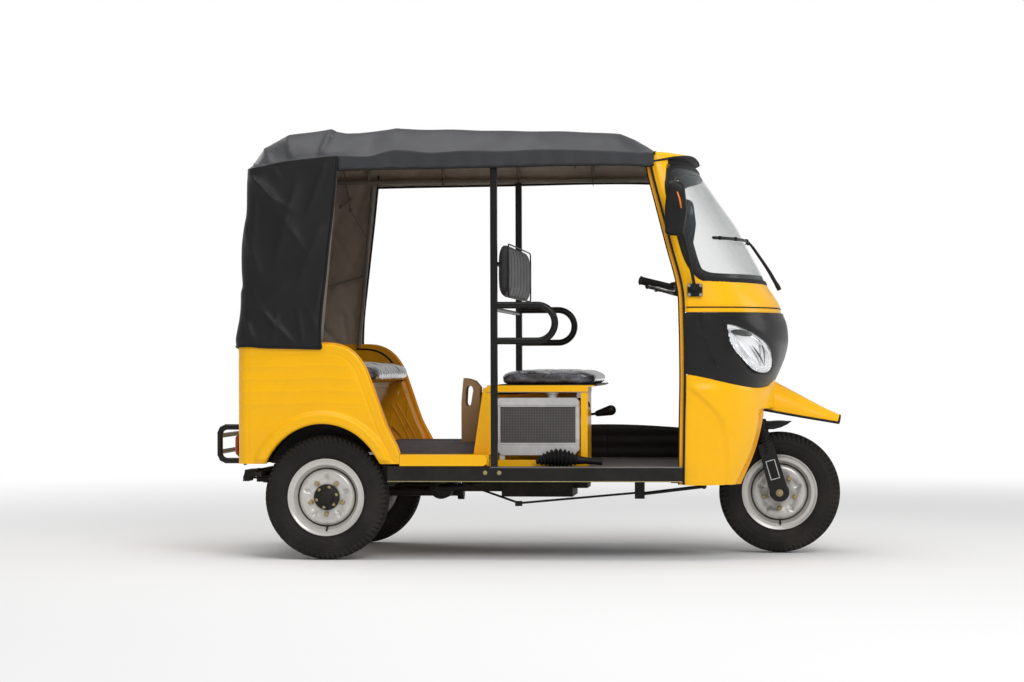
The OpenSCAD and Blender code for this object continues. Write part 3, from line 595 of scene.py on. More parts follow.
# color, roughness, then what the finish shows: tone and its scale, grain (depth, scale), film,
# dust (top, amount), scratches, and the shader's own constants
FINISHES = {
    "yellow_paint": dict(color=YELLOW, rough=0.34, tone=0.05, ripple=0.00022, dust=(0.75, 0.055), scratch=0.12,
                         shader={"Coat Weight": 0.14, "Coat Roughness": 0.1, "Specular IOR Level": 0.22}),
    # a darker, more orange copy of the yellow paint for back faces, returns, rims, boxes and the flange by the front
    # wheel: painted shade; its dust and scratches are real wear
    "yellow_inner": dict(slot="yellow_paint", color=rgb(240, 164, 4), rough=0.46, tone=0.14, ripple=0.0003,
                         dust=(0.9, 0.099), scratch=0.3, shader={"Coat Weight": 0.06, "Coat Roughness": 0.25}),
    "chassis_black": dict(color=rgb(13, 13, 13), rough=0.55, tone=0.3, grain=(0.0003, 260.0), dust=(0.75, 0.121),
                          scratch=0.4),
    "sill_black": dict(color=rgb(20, 19, 19), rough=0.42, tone=0.2, grain=(0.00015, 500.0), dust=(0.8, 0.066)),
    "black_tube": dict(color=rgb(15, 14, 13), rough=0.34, tone=0.15, ripple=0.00012, dust=(0.7, 0.033),
                       scratch=0.25,
                       shader={"Coat Weight": 0.12, "Coat Roughness": 0.15}),
    "frame_grey": dict(color=rgb(124, 116, 106), rough=0.45, tone=0.22, grain=(0.0002, 300.0), scratch=0.4),
    "floor_mat": dict(color=rgb(88, 83, 84), rough=0.62, tone=0.3, grain=(0.0004, 420.0), dust=(1.2, 0.11)),
    # a pale copy of the mat for the lines along its edges: painted highlights
    "mat_edge": dict(slot="floor_mat", color=rgb(168, 166, 164), rough=0.5, tone=0.2, grain=(0.0003, 420.0)),
    "beige_panel": dict(color=rgb(216, 200, 170), rough=0.5, tone=0.12, grain=(0.0002, 700.0), dust=(1.0, 0.044)),
    "grey_vinyl": dict(color=rgb(50, 48, 50), rough=0.5, tone=0.18, grain=(0.0004, 520.0),
                       shader={"Sheen Weight": 0.1}),
    # the wrapped vinyl carries painted highlights of the clear film over the seats
    "wrapped_vinyl": dict(slot="grey_vinyl", color=rgb(52, 47, 49), rough=0.42, tone=0.25, grain=(0.0003, 520.0),
                          film=0.006, wrap=0.75, shader={"Coat Weight": 0.9, "Coat Roughness": 0.08}),
    "canopy_vinyl": dict(color=rgb(46, 47, 51), rough=0.46, tone=0.22, tone_scale=2.2, grain=(0.00035, 480.0),
                         dust=(2.6, 0.026), shader={"Sheen Weight": 0.06, "Specular IOR Level": 0.42}),
    "canopy_lining": dict(slot="canopy_vinyl", color=rgb(176, 162, 148), rough=0.9, tone=0.2, tone_scale=3.0,
                          weave=(0.00025, 1500.0)),
    "curtain_vinyl": dict(slot="canopy_vinyl", color=rgb(27, 27, 28), rough=0.5, tone=0.22, tone_scale=2.2,
                          grain=(0.00035, 480.0)),
    "canopy_binding": dict(slot="canopy_vinyl", color=rgb(20, 20, 22), rough=0.5, tone=0.15, grain=(0.0003, 600.0)),
    "clear_sheet": dict(color=rgb(206, 212, 216), rough=0.12, tone=0.05, film=0.0012, alpha=0.42,
                        shader={"Specular IOR Level": 0.6}),
    "radiator_aluminium": dict(color=rgb(206, 205, 204), rough=0.45, metallic=0.25, tone=0.18,
                               grain=(0.0002, 240.0), scratch=0.5),
    "radiator_core": dict(slot="radiator_aluminium", color=rgb(104, 101, 99), rough=0.5, metallic=0.3, tone=0.1,
                          mesh=0.0072),
    "brown_plastic": dict(color=rgb(134, 104, 58), rough=0.42, tone=0.18, grain=(0.0002, 700.0), dust=(1.2, 0.066)),
    "engine_casting": dict(color=rgb(30, 28, 26), rough=0.6, metallic=0.1, tone=0.3, grain=(0.0006, 180.0),
                           dust=(0.8, 0.11)),
    "axle_black": dict(color=rgb(12, 11, 10), rough=0.5, tone=0.3, grain=(0.0004, 200.0), dust=(0.7, 0.132),
                       scratch=0.4),
    "spring_steel": dict(color=rgb(24, 22, 20), rough=0.5, metallic=0.1, tone=0.3, grain=(0.0003, 260.0),
                         dust=(0.7, 0.11), scratch=0.5),
    "zinc": dict(slot="spring_steel", color=rgb(176, 160, 118), rough=0.4, metallic=0.75, tone=0.2,
                 grain=(0.0001, 400.0)),
    "black_plastic": dict(color=rgb(19, 18, 18), rough=0.42, tone=0.12, grain=(0.00022, 620.0), dust=(0.9, 0.04),
                          scratch=0.15),
    "nose_black": dict(slot="black_plastic", color=rgb(19, 17, 17), rough=0.36, tone=0.1, ripple=0.0003,
                       dust=(1.2, 0.018), scratch=0.15, shader={"Coat Weight": 0.12, "Coat Roughness": 0.2}),
    "soft_rubber": dict(slot="black_plastic", color=rgb(22, 22, 23), rough=0.58, tone=0.15, grain=(0.0002, 500.0)),
    "windscreen_glass": dict(color=rgb(128, 136, 138), rough=0.0, glass=(0.94, 0.06)),
    "lamp_glass": dict(slot="headlight_chrome", color=rgb(250, 252, 253), rough=0.0, glass=(0.96, 0.06)),
    # near-white colour with only a 0.55 metallic share: the white diffuse part is a painted reflection that keeps the
    # reflector bright; the metallic part reflects for real
    "headlight_chrome": dict(color=rgb(244, 246, 248), rough=0.14, metallic=0.55, tone=0.05),
    "lamp_dark": dict(slot="headlight_chrome", color=rgb(20, 21, 24), rough=0.2, tone=0.05,
                      shader={"Coat Weight": 0.5}),
    "amber_lens": dict(slot="red_lens", color=rgb(240, 124, 22), rough=0.16, tone=0.1, ribs=(0.0006, 900.0),
                       shader={"Coat Weight": 0.6}),
    "red_lens": dict(color=rgb(168, 22, 20), rough=0.16, tone=0.12, ribs=(0.0006, 700.0),
                     shader={"Coat Weight": 0.6}),
    "silver_rim": dict(color=rgb(206, 203, 198), rough=0.32, metallic=0.4, tone=0.12, grain=(0.00012, 300.0),
                       dust=(0.75, 0.066), scratch=0.2, shader={"Coat Weight": 0.3, "Coat Roughness": 0.2}),
    "tyre_rubber": dict(color=rgb(20, 19, 18), rough=0.66, tone=0.2, grain=(0.0003, 420.0), dust=(0.65, 0.077)),
    "mirror_glass": dict(slot="headlight_chrome", color=rgb(200, 206, 212), rough=0.03, metallic=1.0, tone=0.03),
    "white_lens": dict(slot="clear_sheet", color=rgb(226, 226, 222), rough=0.25, tone=0.05,
                       shader={"Coat Weight": 0.5}),
    "steel_zinc": dict(slot="frame_grey", color=rgb(170, 170, 168), rough=0.35, metallic=0.9, tone=0.2,
                       grain=(0.0001, 300.0)),
    "sticker": dict(slot="clear_sheet", color=rgb(206, 214, 206), rough=0.4, tone=0.06),
}


TINTS = {"yellow_paint": "paint", "canopy_vinyl": "hood", "grey_vinyl": "seats"}


def finish(name):
    """The material of a finish: its shader, and the effects that its line in the table asks for."""
    known = bpy.data.materials.get("finish " + name)
    if known:
        return known
    spec = FINISHES[name]
    material = bpy.data.materials.new("finish " + name)
    material.use_nodes = True
    material.diffuse_color = spec["color"]
    tree = material.node_tree
    tree.nodes.clear()
    w = Wires(tree)
    end = w.node("OutputMaterial")
    shader = w.node("BsdfPrincipled", {"Metallic": spec.get("metallic", 0.0), "Specular IOR Level": 0.24})
    for key, value in spec.get("shader", {}).items():
        shader.inputs[key].default_value = value
    tree.links.new(shader.outputs[0], end.inputs[0])
    if "glass" in spec:
        return glass(w, material, shader, spec)
    place = w.node("TexCoord").outputs["Object"]
    color = (*getattr(bpy.context.scene.rickshaw, TINTS[name]), 1.0) if name in TINTS else spec["color"]
    color = placed(w, "uneven tone", Vector=place, Color=color, Scale=spec.get("tone_scale", 5.0),
                   Amount=spec["tone"])
    rough = w.math("MULTIPLY_ADD", w.noise(place, 14.0, 4), 0.16, max(spec["rough"] - 0.08, 0.0))
    heights = []
    if "ripple" in spec:
        heights.append((w.noise(place, 34.0, 1), spec["ripple"]))
    if "grain" in spec:
        depth, scale = spec["grain"]
        heights.append((placed(w, "pebbled grain", Vector=place, Scale=scale, Depth=1.0), depth))
    if "weave" in spec:
        depth, scale = spec["weave"]
        heights.append((placed(w, "woven backing", Vector=place, Scale=scale), depth))
    if "film" in spec:
        heights.append((placed(w, "crumpled film", Vector=place, Scale=20.0), spec["film"]))
    if "ribs" in spec:
        depth, scale = spec["ribs"]
        wave = w.math("SINE", w.times(w.axes(place)[2], scale))
        heights.append((wave, depth))
    # painted highlights of the clear film: pale blue-grey patches blended into the colour
    if "wrap" in spec:
        highlight_mask = w.between(w.noise(place, 7.0, 4, 0.6, (1.0, 1.0, 2.6)), 0.46, 0.74, 0.0, spec["wrap"])
        color = w.blend(highlight_mask, color, rgb(124, 129, 142))
        rough = w.times(rough, 0.5)
    if "mesh" in spec:
        mask = placed(w, "core mesh", Vector=place, Pitch=spec["mesh"])
        color = w.blend(mask, rgb(34, 35, 38), color)
        heights.append((mask, 0.0006))
    if "scratch" in spec:
        marks = placed(w, "fine scratches", Vector=place, Scale=26.0, Amount=spec["scratch"])
        rough = w.plus(rough, w.times(marks, 0.3), clamp=True)
        color = w.blend(w.times(marks, 0.35), color, rgb(170, 168, 164))
    if "dust" in spec:
        top, amount = spec["dust"]
        mask = placed(w, "road dust", Vector=place, Top=top, Amount=amount)
        color = w.blend(mask, color, DUST)
        rough = w.plus(rough, w.times(mask, 0.4), clamp=True)
    w.feed(shader.inputs["Base Color"], color)
    w.feed(shader.inputs["Roughness"], rough)
    if heights:
        total = None
        for value, depth in heights:
            part = w.times(value, depth)
            total = part if total is None else w.plus(total, part)
        bumps = w.node("Bump", {"Height": total, "Distance": 1.0, "Strength": 1.0})
        tree.links.new(bumps.outputs[0], shader.inputs["Normal"])
    if "alpha" in spec:
        shader.inputs["Alpha"].default_value = spec["alpha"]
    return material


def glass(w, material, shader, spec):
    """Thin clear glass: mostly see-through, with a gloss that grows towards grazing angles."""
    clear, edge = spec["glass"]
    shader.inputs["Base Color"].default_value = spec["color"]
    shader.inputs["Roughness"].default_value = 0.02
    shader.inputs["IOR"].default_value = 1.5
    facing = w.node("LayerWeight", {"Blend": 0.35}).outputs["Facing"]
    alpha = w.between(facing, 0.0, 1.0, 1 - clear, 1 - clear + edge * 4)
    w.feed(shader.inputs["Alpha"], alpha)
    return material


CAD_FINISH = {
    "chassis_rails": "chassis_black", "cross_members": "chassis_black", "steering_neck": "chassis_black",
    "side_sills": "sill_black", "front_floor": "floor_mat", "rear_floor": "yellow_paint",
    "canopy_frame": "frame_grey", "pillars": "black_tube", "armrest_loops": "black_tube",
    "driver_seat_box": "yellow_paint", "engine_block": "engine_casting", "rear_axle": "axle_black",
    "leaf_springs": "spring_steel", "leg_shield": "black_plastic", "rear_bumper": "black_tube",
    "floor_controls": "black_plastic", "fork_legs": "black_tube", "handlebar": "black_tube",
}


def dress_frame():
    """Gives every CAD piece that still shows its own finish."""
    for node, name in CAD_FINISH.items():
        material = finish(name)
        piece = frame["nodes"][node]
        if not piece.material_slots:
            piece.data.materials.append(material)
        for slot in piece.material_slots:
            slot.material = material


# ---------------------------------------------------------------- cab

# Cab outline by height, in millimetres: rear edge, nose line and half width
REAR = [(330, 722), (600, 726), (822, 730), (1070, 727), (1200, 721), (1411, 668), (1615, 616), (1717, 590),
        (1790, 576), (1830, 568)]
NOSE = [(330, 1046), (650, 1112), (780, 1120), (841, 1145), (900, 1162), (984, 1178), (1060, 1170),
        (1105, 1152), (1140, 1146), (1242, 1084), (1288, 1065), (1446, 981), (1498, 955), (1629, 864),
        (1741, 787), (1790, 752), (1830, 730)]
HALF = [(330, 585), (1105, 592), (1245, 584), (1760, 566), (1830, 540)]
MASK_LOW = [(0, 806), (12, 800), (25, 776), (40, 768), (55, 778), (70, 797), (90, 830)]
CHEEK_FRONT = [(335, 972), (481, 1034), (615, 1068), (670, 1074)]
SCREEN_REAR = [(1240, 815), (1253, 785), (1284, 759), (1329, 733), (1370, 718), (1421, 708), (1500, 684),
               (1600, 656), (1691, 640), (1766, 645)]
BLUNT = 2.35
SPLIT, SCREEN_LOW, SCREEN_HIGH, CAB_TOP = 1105.0, 1243.0, 1768.0, 1800.0


def cab(a, z, d=0.0):
    """Point of the cab at angle a, from -90 on the right over the nose at 0 to 90, and height z:
    a blunt ellipse, x = rear + (nose - rear) cos^k, y = half sin^k, drawn in by d."""
    a, z = np.broadcast_arrays(np.asarray(a, float), np.asarray(z, float))
    c, s = np.cos(np.radians(a)), np.sin(np.radians(a))
    k = 2 / BLUNT
    rear = table(z, REAR)
    x = rear + (table(z, NOSE) - rear - d) * np.maximum(c, 0) ** k
    y = np.sign(s) * (table(z, HALF) - d) * abs(s) ** k
    return field(x, y, z)


def cab_angle(x, z):
    """Angle at which the cab's side reaches x at height z."""
    rear = table(z, REAR)
    share = np.clip((x - rear) / (table(z, NOSE) - rear), 0, 1)
    return np.degrees(np.arccos(share ** (BLUNT / 2)))


def round_nose(u, z, edge, cells, side):
    """Angles of a row of cells + 1 points: side cells from the rear edge to the opening's edge
    on each flank, and the others between the two edges."""
    i = u * cells
    e = cab_angle(edge, z)
    rear = table(z, REAR)
    flank = cab_angle(rear + (edge - rear) * np.minimum(np.minimum(i, cells - i) / side, 1), z)
    front = e * (1 - 2 * (i - side) / (cells - 2 * side))
    angle = np.where(np.minimum(i, cells - i) <= side, flank, abs(front))
    return np.where(i < cells / 2, -angle, angle)


def skin(p, wall, lift=0.0):
    """A grid of points as the outer face, moved out by lift, and its inner face wall below it."""
    n = normals(p)
    return p + n * np.asarray(lift)[..., None], p - n * wall


def make_cheeks(sizes):
    """Yellow lower panel: cheeks beside the wheel and a bridge under the mask, with a pressed
    crease that curves down each cheek and a folded edge along the wheel opening."""
    cells, side, rows, low_rows = 136, 48, 78, 52
    u = np.linspace(0, 1, cells + 1)[:, None]
    v = np.arange(rows + 1)[None]
    low = 335 + (670 - 335) * np.minimum(v / low_rows, 1)
    a = round_nose(u, low, table(low, CHEEK_FRONT), cells, side)
    top = table(abs(a), MASK_LOW) - 2
    z = np.where(v <= low_rows, low, 670 + (top - 670) * (v - low_rows) / (rows - low_rows))
    p = cab(a, z)
    x = p[..., 0] / MM
    crease = [(744, 766), (800, 715), (846, 669), (877, 623), (896, 546), (900, 439), (904, 335)]
    gap = from_path(x, z, crease)
    front = x - table(z, [(height, reach) for reach, height in crease[::-1]])
    lift = 9.0 * ease(0.5 + front / 30) * ease((800 - z) / 50) * ease((z - 300) / 200) - 4.0 * bump(gap, 9)
    # flange along the wheel opening, turned in; its cells take the darker yellow as painted shade
    to_edge = table(np.clip(z, 335, 670), CHEEK_FRONT) - x
    lift -= 13.0 * ease(1 - to_edge / 34) * (z < 672)
    i, j = np.meshgrid(np.arange(cells), np.arange(rows), indexing="ij")
    keep = (i < side) | (i >= cells - side) | (j >= low_rows)
    # cells near the wheel opening get the darker yellow: painted shade on the flange
    dark = (to_edge[:-1, :-1] < 30) & (j < low_rows)
    outer, inner = skin(p, sizes.wall * 0.25, lift * MM)
    Shape().slab(outer, inner, keep=keep & ~dark, back=1).slab(outer, inner, keep=keep & dark, slot=1).build(
        "cowl_cheeks", ["yellow_paint", "yellow_inner"], replaces=("front_cowl",)
    )


def make_mask(sizes):
    """Black band round the lamps, with a raised fold on each flank and a fold over the brow."""
    nu, nv = 200, 60
    t = np.linspace(-1, 1, nu + 1)[:, None]
    a = np.sign(t) * (30 * abs(t) + np.degrees(np.arccos((1 - abs(t)) ** (BLUNT / 2))) / 1.5)
    low = table(abs(a), MASK_LOW)
    z = low + (SPLIT - 3 - low) * np.linspace(0, 1, nv + 1)[None]
    a = a + 0 * z
    p = cab(a, z, 1.0)
    x = p[..., 0] / MM
    fold = [(786, 1098), (789, 1085), (797, 1020), (820, 952), (846, 898), (872, 868)]
    gap = from_path(x, z, fold)
    ahead = x - table(z, [(800, 900), (868, 872), (898, 846), (952, 820), (1020, 797), (1098, 786)])
    lift = 8.0 * ease(0.5 + ahead / 15) * ease((z - 830) / 90) - 6.0 * bump(gap, 5.5)
    # hollow that the lamp sits in
    lamp = from_path(x, z, LAMP + LAMP[:1])
    inside = lamp_inside(x, z)
    lift -= np.where(inside, 3.0, 3.5 * bump(lamp, 14)) * (abs(a) > 12)
    # grooves over the nose between the lamps
    lift -= 2.5 * bump(abs(abs(a) - 9), 1.6) * ease((z - 820) / 30) * ease((1060 - z) / 60)
    lift += 2.0 * bump(z - 1098, 5)
    outer, inner = skin(p, sizes.wall * 0.25, lift * MM)
    hole = inside[:-1, :-1] & inside[1:, :-1] & inside[:-1, 1:] & inside[1:, 1:]
    Shape().slab(outer, inner, keep=~hole).build("nose_band", ["nose_black"], replaces=("nose_mask",))


def make_cab_shell(sizes):
    """Yellow band, A pillars and header round the windscreen: one row of cells follows each
    edge of the opening, and the cells inside it are left out. The visor's lip stands over it."""
    cells, side = 120, 16
    levels = np.concatenate([
        np.linspace(SPLIT, SCREEN_LOW, 15), np.linspace(SCREEN_LOW, 1400, 20)[1:],
        np.linspace(1400, SCREEN_HIGH, 34)[1:], np.linspace(SCREEN_HIGH, CAB_TOP, 6)[1:],
    ])
    u = np.linspace(0, 1, cells + 1)[:, None]
    z = levels[None] + 0 * u
    a = round_nose(u, z, table(np.maximum(z, SCREEN_LOW), SCREEN_REAR), cells, side)
    p = cab(a, z)
    groove = 2.4 * bump(z - 1127, 3.2)
    lift = -groove + 1.2 * bump(z - 1112, 10)
    # flat flange behind the pillar's edge
    x = p[..., 0] / MM
    rear = table(z, REAR)
    lift -= 3.0 * ease(1 - (x - rear - 8) / 8)
    i = np.arange(cells)[:, None]
    low, high = levels[:-1] >= SCREEN_LOW, levels[1:] <= SCREEN_HIGH
    hole = (low & high)[None] & (i >= side) & (i < cells - side)
    outer, inner = skin(p, sizes.wall * 0.4, lift * MM)
    header = (levels[:-1] >= SCREEN_HIGH - 1)[None] & (i > side) & (i < cells - side - 1)
    # the inner face takes the darker yellow: painted shade
    shape = Shape().slab(outer, inner, keep=~hole & ~header, back=1)
    shape.slab(outer, inner, keep=header, slot=2)
    # roof cap: rings drawn in from the visor's lip to the middle, rising as they go
    turn = np.linspace(-90, 90, 81)
    base = cab(turn, CAB_TOP)
    lip = table(abs(turn), [(0, 1806), (30, 1815), (60, 1803), (90, 1780)])
    rings = []
    for out, high in ((-6, 1784 + 0 * lip), (20, lip - 7), (27, lip - 4), (27, lip + 3), (22, lip * 0.5 + 909),
                      (6, lip * 0.2 + 1457), (-20, 1822 + 0 * lip), (-70, 1824 + 0 * lip)):
        ring = base.copy()
        ring[:, 0] += out * MM * np.cos(np.radians(turn)) ** 0.6
        ring[:, 1] *= 1 + out * MM / 2.2
        ring[:, 2] = high * MM
        rings.append(ring)
    for share in (0.75, 0.5, 0.25, 0.02):
        ring = rings[7].copy()
        ring[:, 1] *= share
        ring[:, 0] = rings[7][:, 0].min() + (ring[:, 0] - rings[7][:, 0].min()) * share
        ring[:, 2] = (CAB_TOP + 24) * MM
        rings.append(ring)
    rings = np.array(rings).transpose(1, 0, 2)
    shape.grid(rings[:, :4], slot=2)
    shape.grid(rings[:, 3:])
    shape.tube(rings[:, 2] + np.array([0, 0, 0.002]), 0.0042, 8, slot=2)
    shape.build("cab_shell", ["yellow_paint", "yellow_inner", "soft_rubber"], replaces=("cab_frame",))


def screen_outline(inward, out=0.0):
    """Closed path round the windscreen opening, drawn in by inward and lifted off the surface
    by out: up the right pillar, over the header, down the left and back under the glass."""
    z = np.linspace(SCREEN_LOW + inward, SCREEN_HIGH - inward, 60)
    e = cab_angle(table(z, SCREEN_REAR) + inward, z)
    right, left = cab(-e, z, -out), cab(e, z, -out)[::-1]
    top = cab(np.linspace(-e[-1], e[-1], 60)[1:-1], z[-1], -out)
    low = cab(np.linspace(e[0], -e[0], 60)[1:-1], z[0], -out)
    return soft_loop(np.concatenate([right, top, left, low]), 200, 16, 160)


def rounded_loop(points, times):
    """A closed path smoothed by taking the mean of each point and its neighbours, times over."""
    for _ in range(times):
        points = (np.roll(points, 1, 0) + 2 * points + np.roll(points, -1, 0)) / 4
    return points


def soft_loop(points, fine, times, count):
    """A closed path in fine steps, smoothed times over, as count points."""
    return spread(rounded_loop(spread(points, fine, closed=True), times), count, closed=True)


def make_windscreen(sizes):
    """Bowed glass in its opening, the rubber round it, and a dark band inside the rubber."""
    nu, nv = 64, 40
    z = SCREEN_LOW + 6 + (SCREEN_HIGH - SCREEN_LOW - 12) * np.linspace(0, 1, nv + 1)[None]
    e = cab_angle(table(z, SCREEN_REAR) + 8, z)
    a = -e + 2 * e * np.linspace(0, 1, nu + 1)[:, None]
    p = cab(a, z + 0 * a, 3)
    outer, inner = skin(p, 0.005)
    Shape().slab(outer, inner).build("screen_glass", ["windscreen_glass"], replaces=("windscreen",))
    flat = [(-13, -3), (-12, 1.5), (-7, 4.2), (0, 5), (8, 4.2), (13, 1.2), (13, -3), (0, -5)]
    path = screen_outline(3)
    n = surface_up(path)
    Shape().grid(ribbon(path, n, mm(flat)), closed_u=True, closed_v=True).build(
        "screen_rubber", ["soft_rubber"], angle=50
    )
    inner_path = screen_outline(22, 1.0)
    inner_n = surface_up(inner_path)
    band = [(-14, -4.6), (-14, -3.2), (14, -3.2), (14, -4.6)]
    Shape().grid(ribbon(inner_path, inner_n, mm(band)), closed_u=True, closed_v=True).build(
        "screen_band", ["nose_black"], angle=50
    )


def surface_up(path):
    """Outward directions of the cab's surface at the points of a path on it: away from a line
    that runs up inside the cab."""
    z = path[:, 2] / MM
    rear, nose, half = table(z, REAR), table(z, NOSE), table(z, HALF)
    x, y = path[:, 0] / MM, path[:, 1] / MM
    gx = BLUNT * np.maximum(x - rear, 1) ** (BLUNT - 1) / (nose - rear) ** BLUNT
    gy = BLUNT * np.sign(y) * abs(y) ** (BLUNT - 1) / half**BLUNT
    lean = (table(z + 4, NOSE) - table(z - 4, NOSE)) / 8
    return unit(np.stack([gx, gy, -gx * lean], axis=1))


# Lamp outline on the cab's right flank, x and z
LAMP = [(908, 1054), (936, 1050), (966, 1041), (1028, 1011), (1066, 985), (1090, 962), (1104, 934), (1110, 895),
        (1108, 862), (1098, 840), (1078, 831), (1050, 834), (1022, 846), (996, 872), (966, 906), (944, 930),
        (922, 968), (912, 1010)]


def lamp_inside(x, z):
    """Which of the plane points lie in the lamp's outline: those from which a line to the side
    crosses it an odd number of times."""
    inside = np.zeros(np.shape(x), bool)
    for (x1, z1), (x2, z2) in zip(LAMP, LAMP[1:] + LAMP[:1]):
        if z1 != z2:
            cross = ((z1 > z) != (z2 > z)) & (x < (x2 - x1) * (z - z1) / (z2 - z1) + x1)
            inside ^= cross
    return inside


def on_cheek(points, out, side):
    """Points (x, z) put on the cab's surface on one side, out beyond it, in millimetres."""
    points = np.asarray(points, float)
    x, z = points[..., 0], points[..., 1]
    return cab(side * cab_angle(x, z), z, -out)


def lamp_rings(shrink, dome, side, count=72):
    """Rings from a lamp's outline to its middle: each is the outline drawn in by its share in
    shrink and stood out by its value in dome."""
    ring = soft_loop(LAMP, 96, 3, count)
    middle = np.array([1022.0, 936.0])
    flat = np.array([middle + (ring - middle) * s for s in shrink])
    out = np.array(dome, float)[:, None] + 0 * flat[..., 0]
    return on_cheek(flat, out, side)


def make_lamps(sizes):
    """Lamps: a bowl with a stepped chrome reflector and a dark blade, under a domed clear lens
    in a thin black seat."""
    for side, name in HANDS:
        glass, bowl, seat = Shape(), Shape(), Shape()
        shrink = (1.0, 0.985, 0.93, 0.82, 0.65, 0.4, 0.15, 0.01)
        p = lamp_rings(shrink, (1, 4, 8, 11.5, 14, 15.5, 16, 16), side)
        glass.grid(p, closed_v=True, flip=side < 0)
        glass.build(f"lamp_lens_{name}", ["lamp_glass"], replaces=("headlights",))
        inner = lamp_rings((1.0, 0.97, 0.95, 0.9, 0.84, 0.8, 0.72, 0.66, 0.5, 0.4, 0.3, 0.2, 0.1, 0.01),
                           (0.5, 0.5, -1, -3, -3.5, -1.5, -1.2, -4, -5, -5, -5, -5, -5, -5), side)
        bowl.grid(inner, closed_v=True, flip=side < 0)
        # a dark signal bowl, two dark lines that meet below, and a row of beads along the bottom
        t = circle(40)
        oval = np.stack([46 * np.cos(t) + 4 * np.sin(t), 13 * np.sin(t) - 9 * np.cos(t)], 1)
        rings = [on_cheek((973, 1012) + oval * k, out, side) for k, out in ((1, 5), (0.9, 8), (0.5, 9), (0.01, 9))]
        bowl.grid(np.array(rings), closed_v=True, flip=side < 0, slot=1)
        for line, wide, slot in (
            ([(1020, 1000), (1050, 976), (1064, 950), (1071, 905), (1072, 862)], 3.6, 1),
            ([(1018, 957), (1040, 925), (1058, 895), (1070, 866)], 4.6, 1),
            ([(950, 990), (975, 950), (1010, 905), (1046, 866)], 5.0, 0),
            ([(1030, 985), (1078, 940), (1092, 890), (1088, 856)], 5.0, 0),
        ):
            path = on_cheek(curve_through(line, 30), 6.0, side)
            bowl.tube(path, np.sin(np.linspace(0.12, 3.02, 30)) * wide * MM, 8, slot=slot)
        for x, z in spread(np.array([(1010, 868), (1040, 850), (1075, 846), (1096, 860)]), 11):
            at = on_cheek(np.array([(x, z), (x, z)]), np.array([2.0, 7.0]), side)
            bowl.tube(at, np.array([0.0042, 0.0028]), 8)
        # the reflector's white diffuse share is a painted reflection
        bowl.build(f"lamp_bowl_{name}", ["headlight_chrome", "lamp_dark"], angle=30)
        ring = lamp_rings((1.012,), (0.5,), side, 90)[0]
        seat.tube(ring, 0.0042, 8, closed=True)
        seat.build(f"lamp_seat_{name}", ["soft_rubber"])


def make_beak(sizes):
    """Front mudguard like a beak: a crowned sheet, widest at the nose and drawn in to a blunt
    tip, with its sides turned down and a dark trim along its lower edge."""
    s = np.linspace(0, 1, 60)[:, None]
    t = np.linspace(-1, 1, 41)[None]
    ridge = table(s * 100, [(0, 796), (10, 782), (40, 738), (75, 680), (94, 648), (100, 637)])
    low = table(s * 100, [(0, 666), (50, 634), (92, 609), (100, 604)])
    half = table(s * 100, [(0, 119), (25, 104), (60, 80), (85, 62), (96, 50), (100, 38)])
    angle = t * np.pi / 2
    blunt = 2 / 2.9
    y = half * np.sign(t) * abs(np.sin(angle)) ** blunt
    z = low + (ridge - low) * np.cos(angle) ** (2 / 2.2)
    z = z - 3.0 * bump(abs(t) - 0.42, 0.06) * ease(s / 0.2) * ease((1 - s) / 0.25)
    back = table(z, [(663, 1072), (792, 1116)])
    x = back + (1415 - back) * s + 6 * bump(s - 1, 0.08) * (1 - t * t)
    p = field(x, y, z)
    p[0, :, 0] = p[0, :, 0] - 0.003
    outer, inner = skin(p, 0.003)
    # the underside takes the darker yellow: painted shade
    Shape().slab(outer, inner, back=1).build(
        "beak_panel", ["yellow_paint", "yellow_inner"], replaces=("beak_mudguard",)
    )
    path = np.concatenate([p[:, 0], p[-1, 1:-1], p[::-1, -1]]) + mm(0, 0, -4)
    Shape().tube(path, 0.0058, 8).build("beak_trim", ["soft_rubber"])


def make_cab_trim(sizes):
    """Black edge round the cab's rear edge with its inner yellow return, the line in the band's groove, and the
    mask's upper lip."""
    edge = Shape()
    returns = Shape()
    z = np.linspace(338, 1792, 120)
    for side in SIDES:
        path = cab(side * 90, z)
        for shape, x, y, wide, thick in ((edge, 5, 0, 5, 6), (returns, 17, 9, 8, 3), (edge, 27, 12, 4, 5)):
            near = path - mm(x, side * y, 0)
            shape.sweep(near, band(wide, thick), up=(0, side, 0))
    edge.build("cab_edge_rubber", ["soft_rubber"], angle=50)
    # the return takes the darker yellow: painted shade inside the edge
    returns.build("cab_edge_return", ["yellow_inner"], angle=50)
    Shape().tube(cab(np.linspace(-89.6, 89.6, 120), 1127, -0.3), 0.0028, 8).build("band_line", ["soft_rubber"])
    path = cab(np.linspace(-89.5, 89.5, 140), 1101, -1)
    lip = ribbon(path, surface_up(path), mm([(-3, -3), (-3, 1.5), (0, 3), (3.5, 1.5), (3.5, -3)]), closed=False)
    Shape().grid(lip, closed_v=True).build("mask_lip", ["nose_black"], angle=60)


# ---------------------------------------------------------------- tub

TUB_EDGE = [(-1291, 962), (-1100, 967), (-910, 972), (-847, 970), (-800, 958), (-780, 948), (-758, 932),
            (-738, 912),
            (-702, 856), (-661, 743), (-612, 604), (-578, 538), (-562, 508), (-552, 478)]
# wheel arch: its middle in x and z, and its half length and height
ARCH_X, ARCH_Z, ARCH_LONG, ARCH_TALL = -901.0, 290.0, 290.0, 321.0
PLATE_HOLES = (-76.0, 76.0)
# inner and outer side of the boxes beside the bench
BOX_IN, BOX_OUT = 452, 586


def arch_low(x):
    """Lower edge of the tub at x: level, or the ellipse of the wheel arch where that is higher."""
    across = np.clip(1 - ((x - ARCH_X) / ARCH_LONG) ** 2, 0, 1)
    return np.maximum(431.0, ARCH_Z + ARCH_TALL * np.sqrt(across))


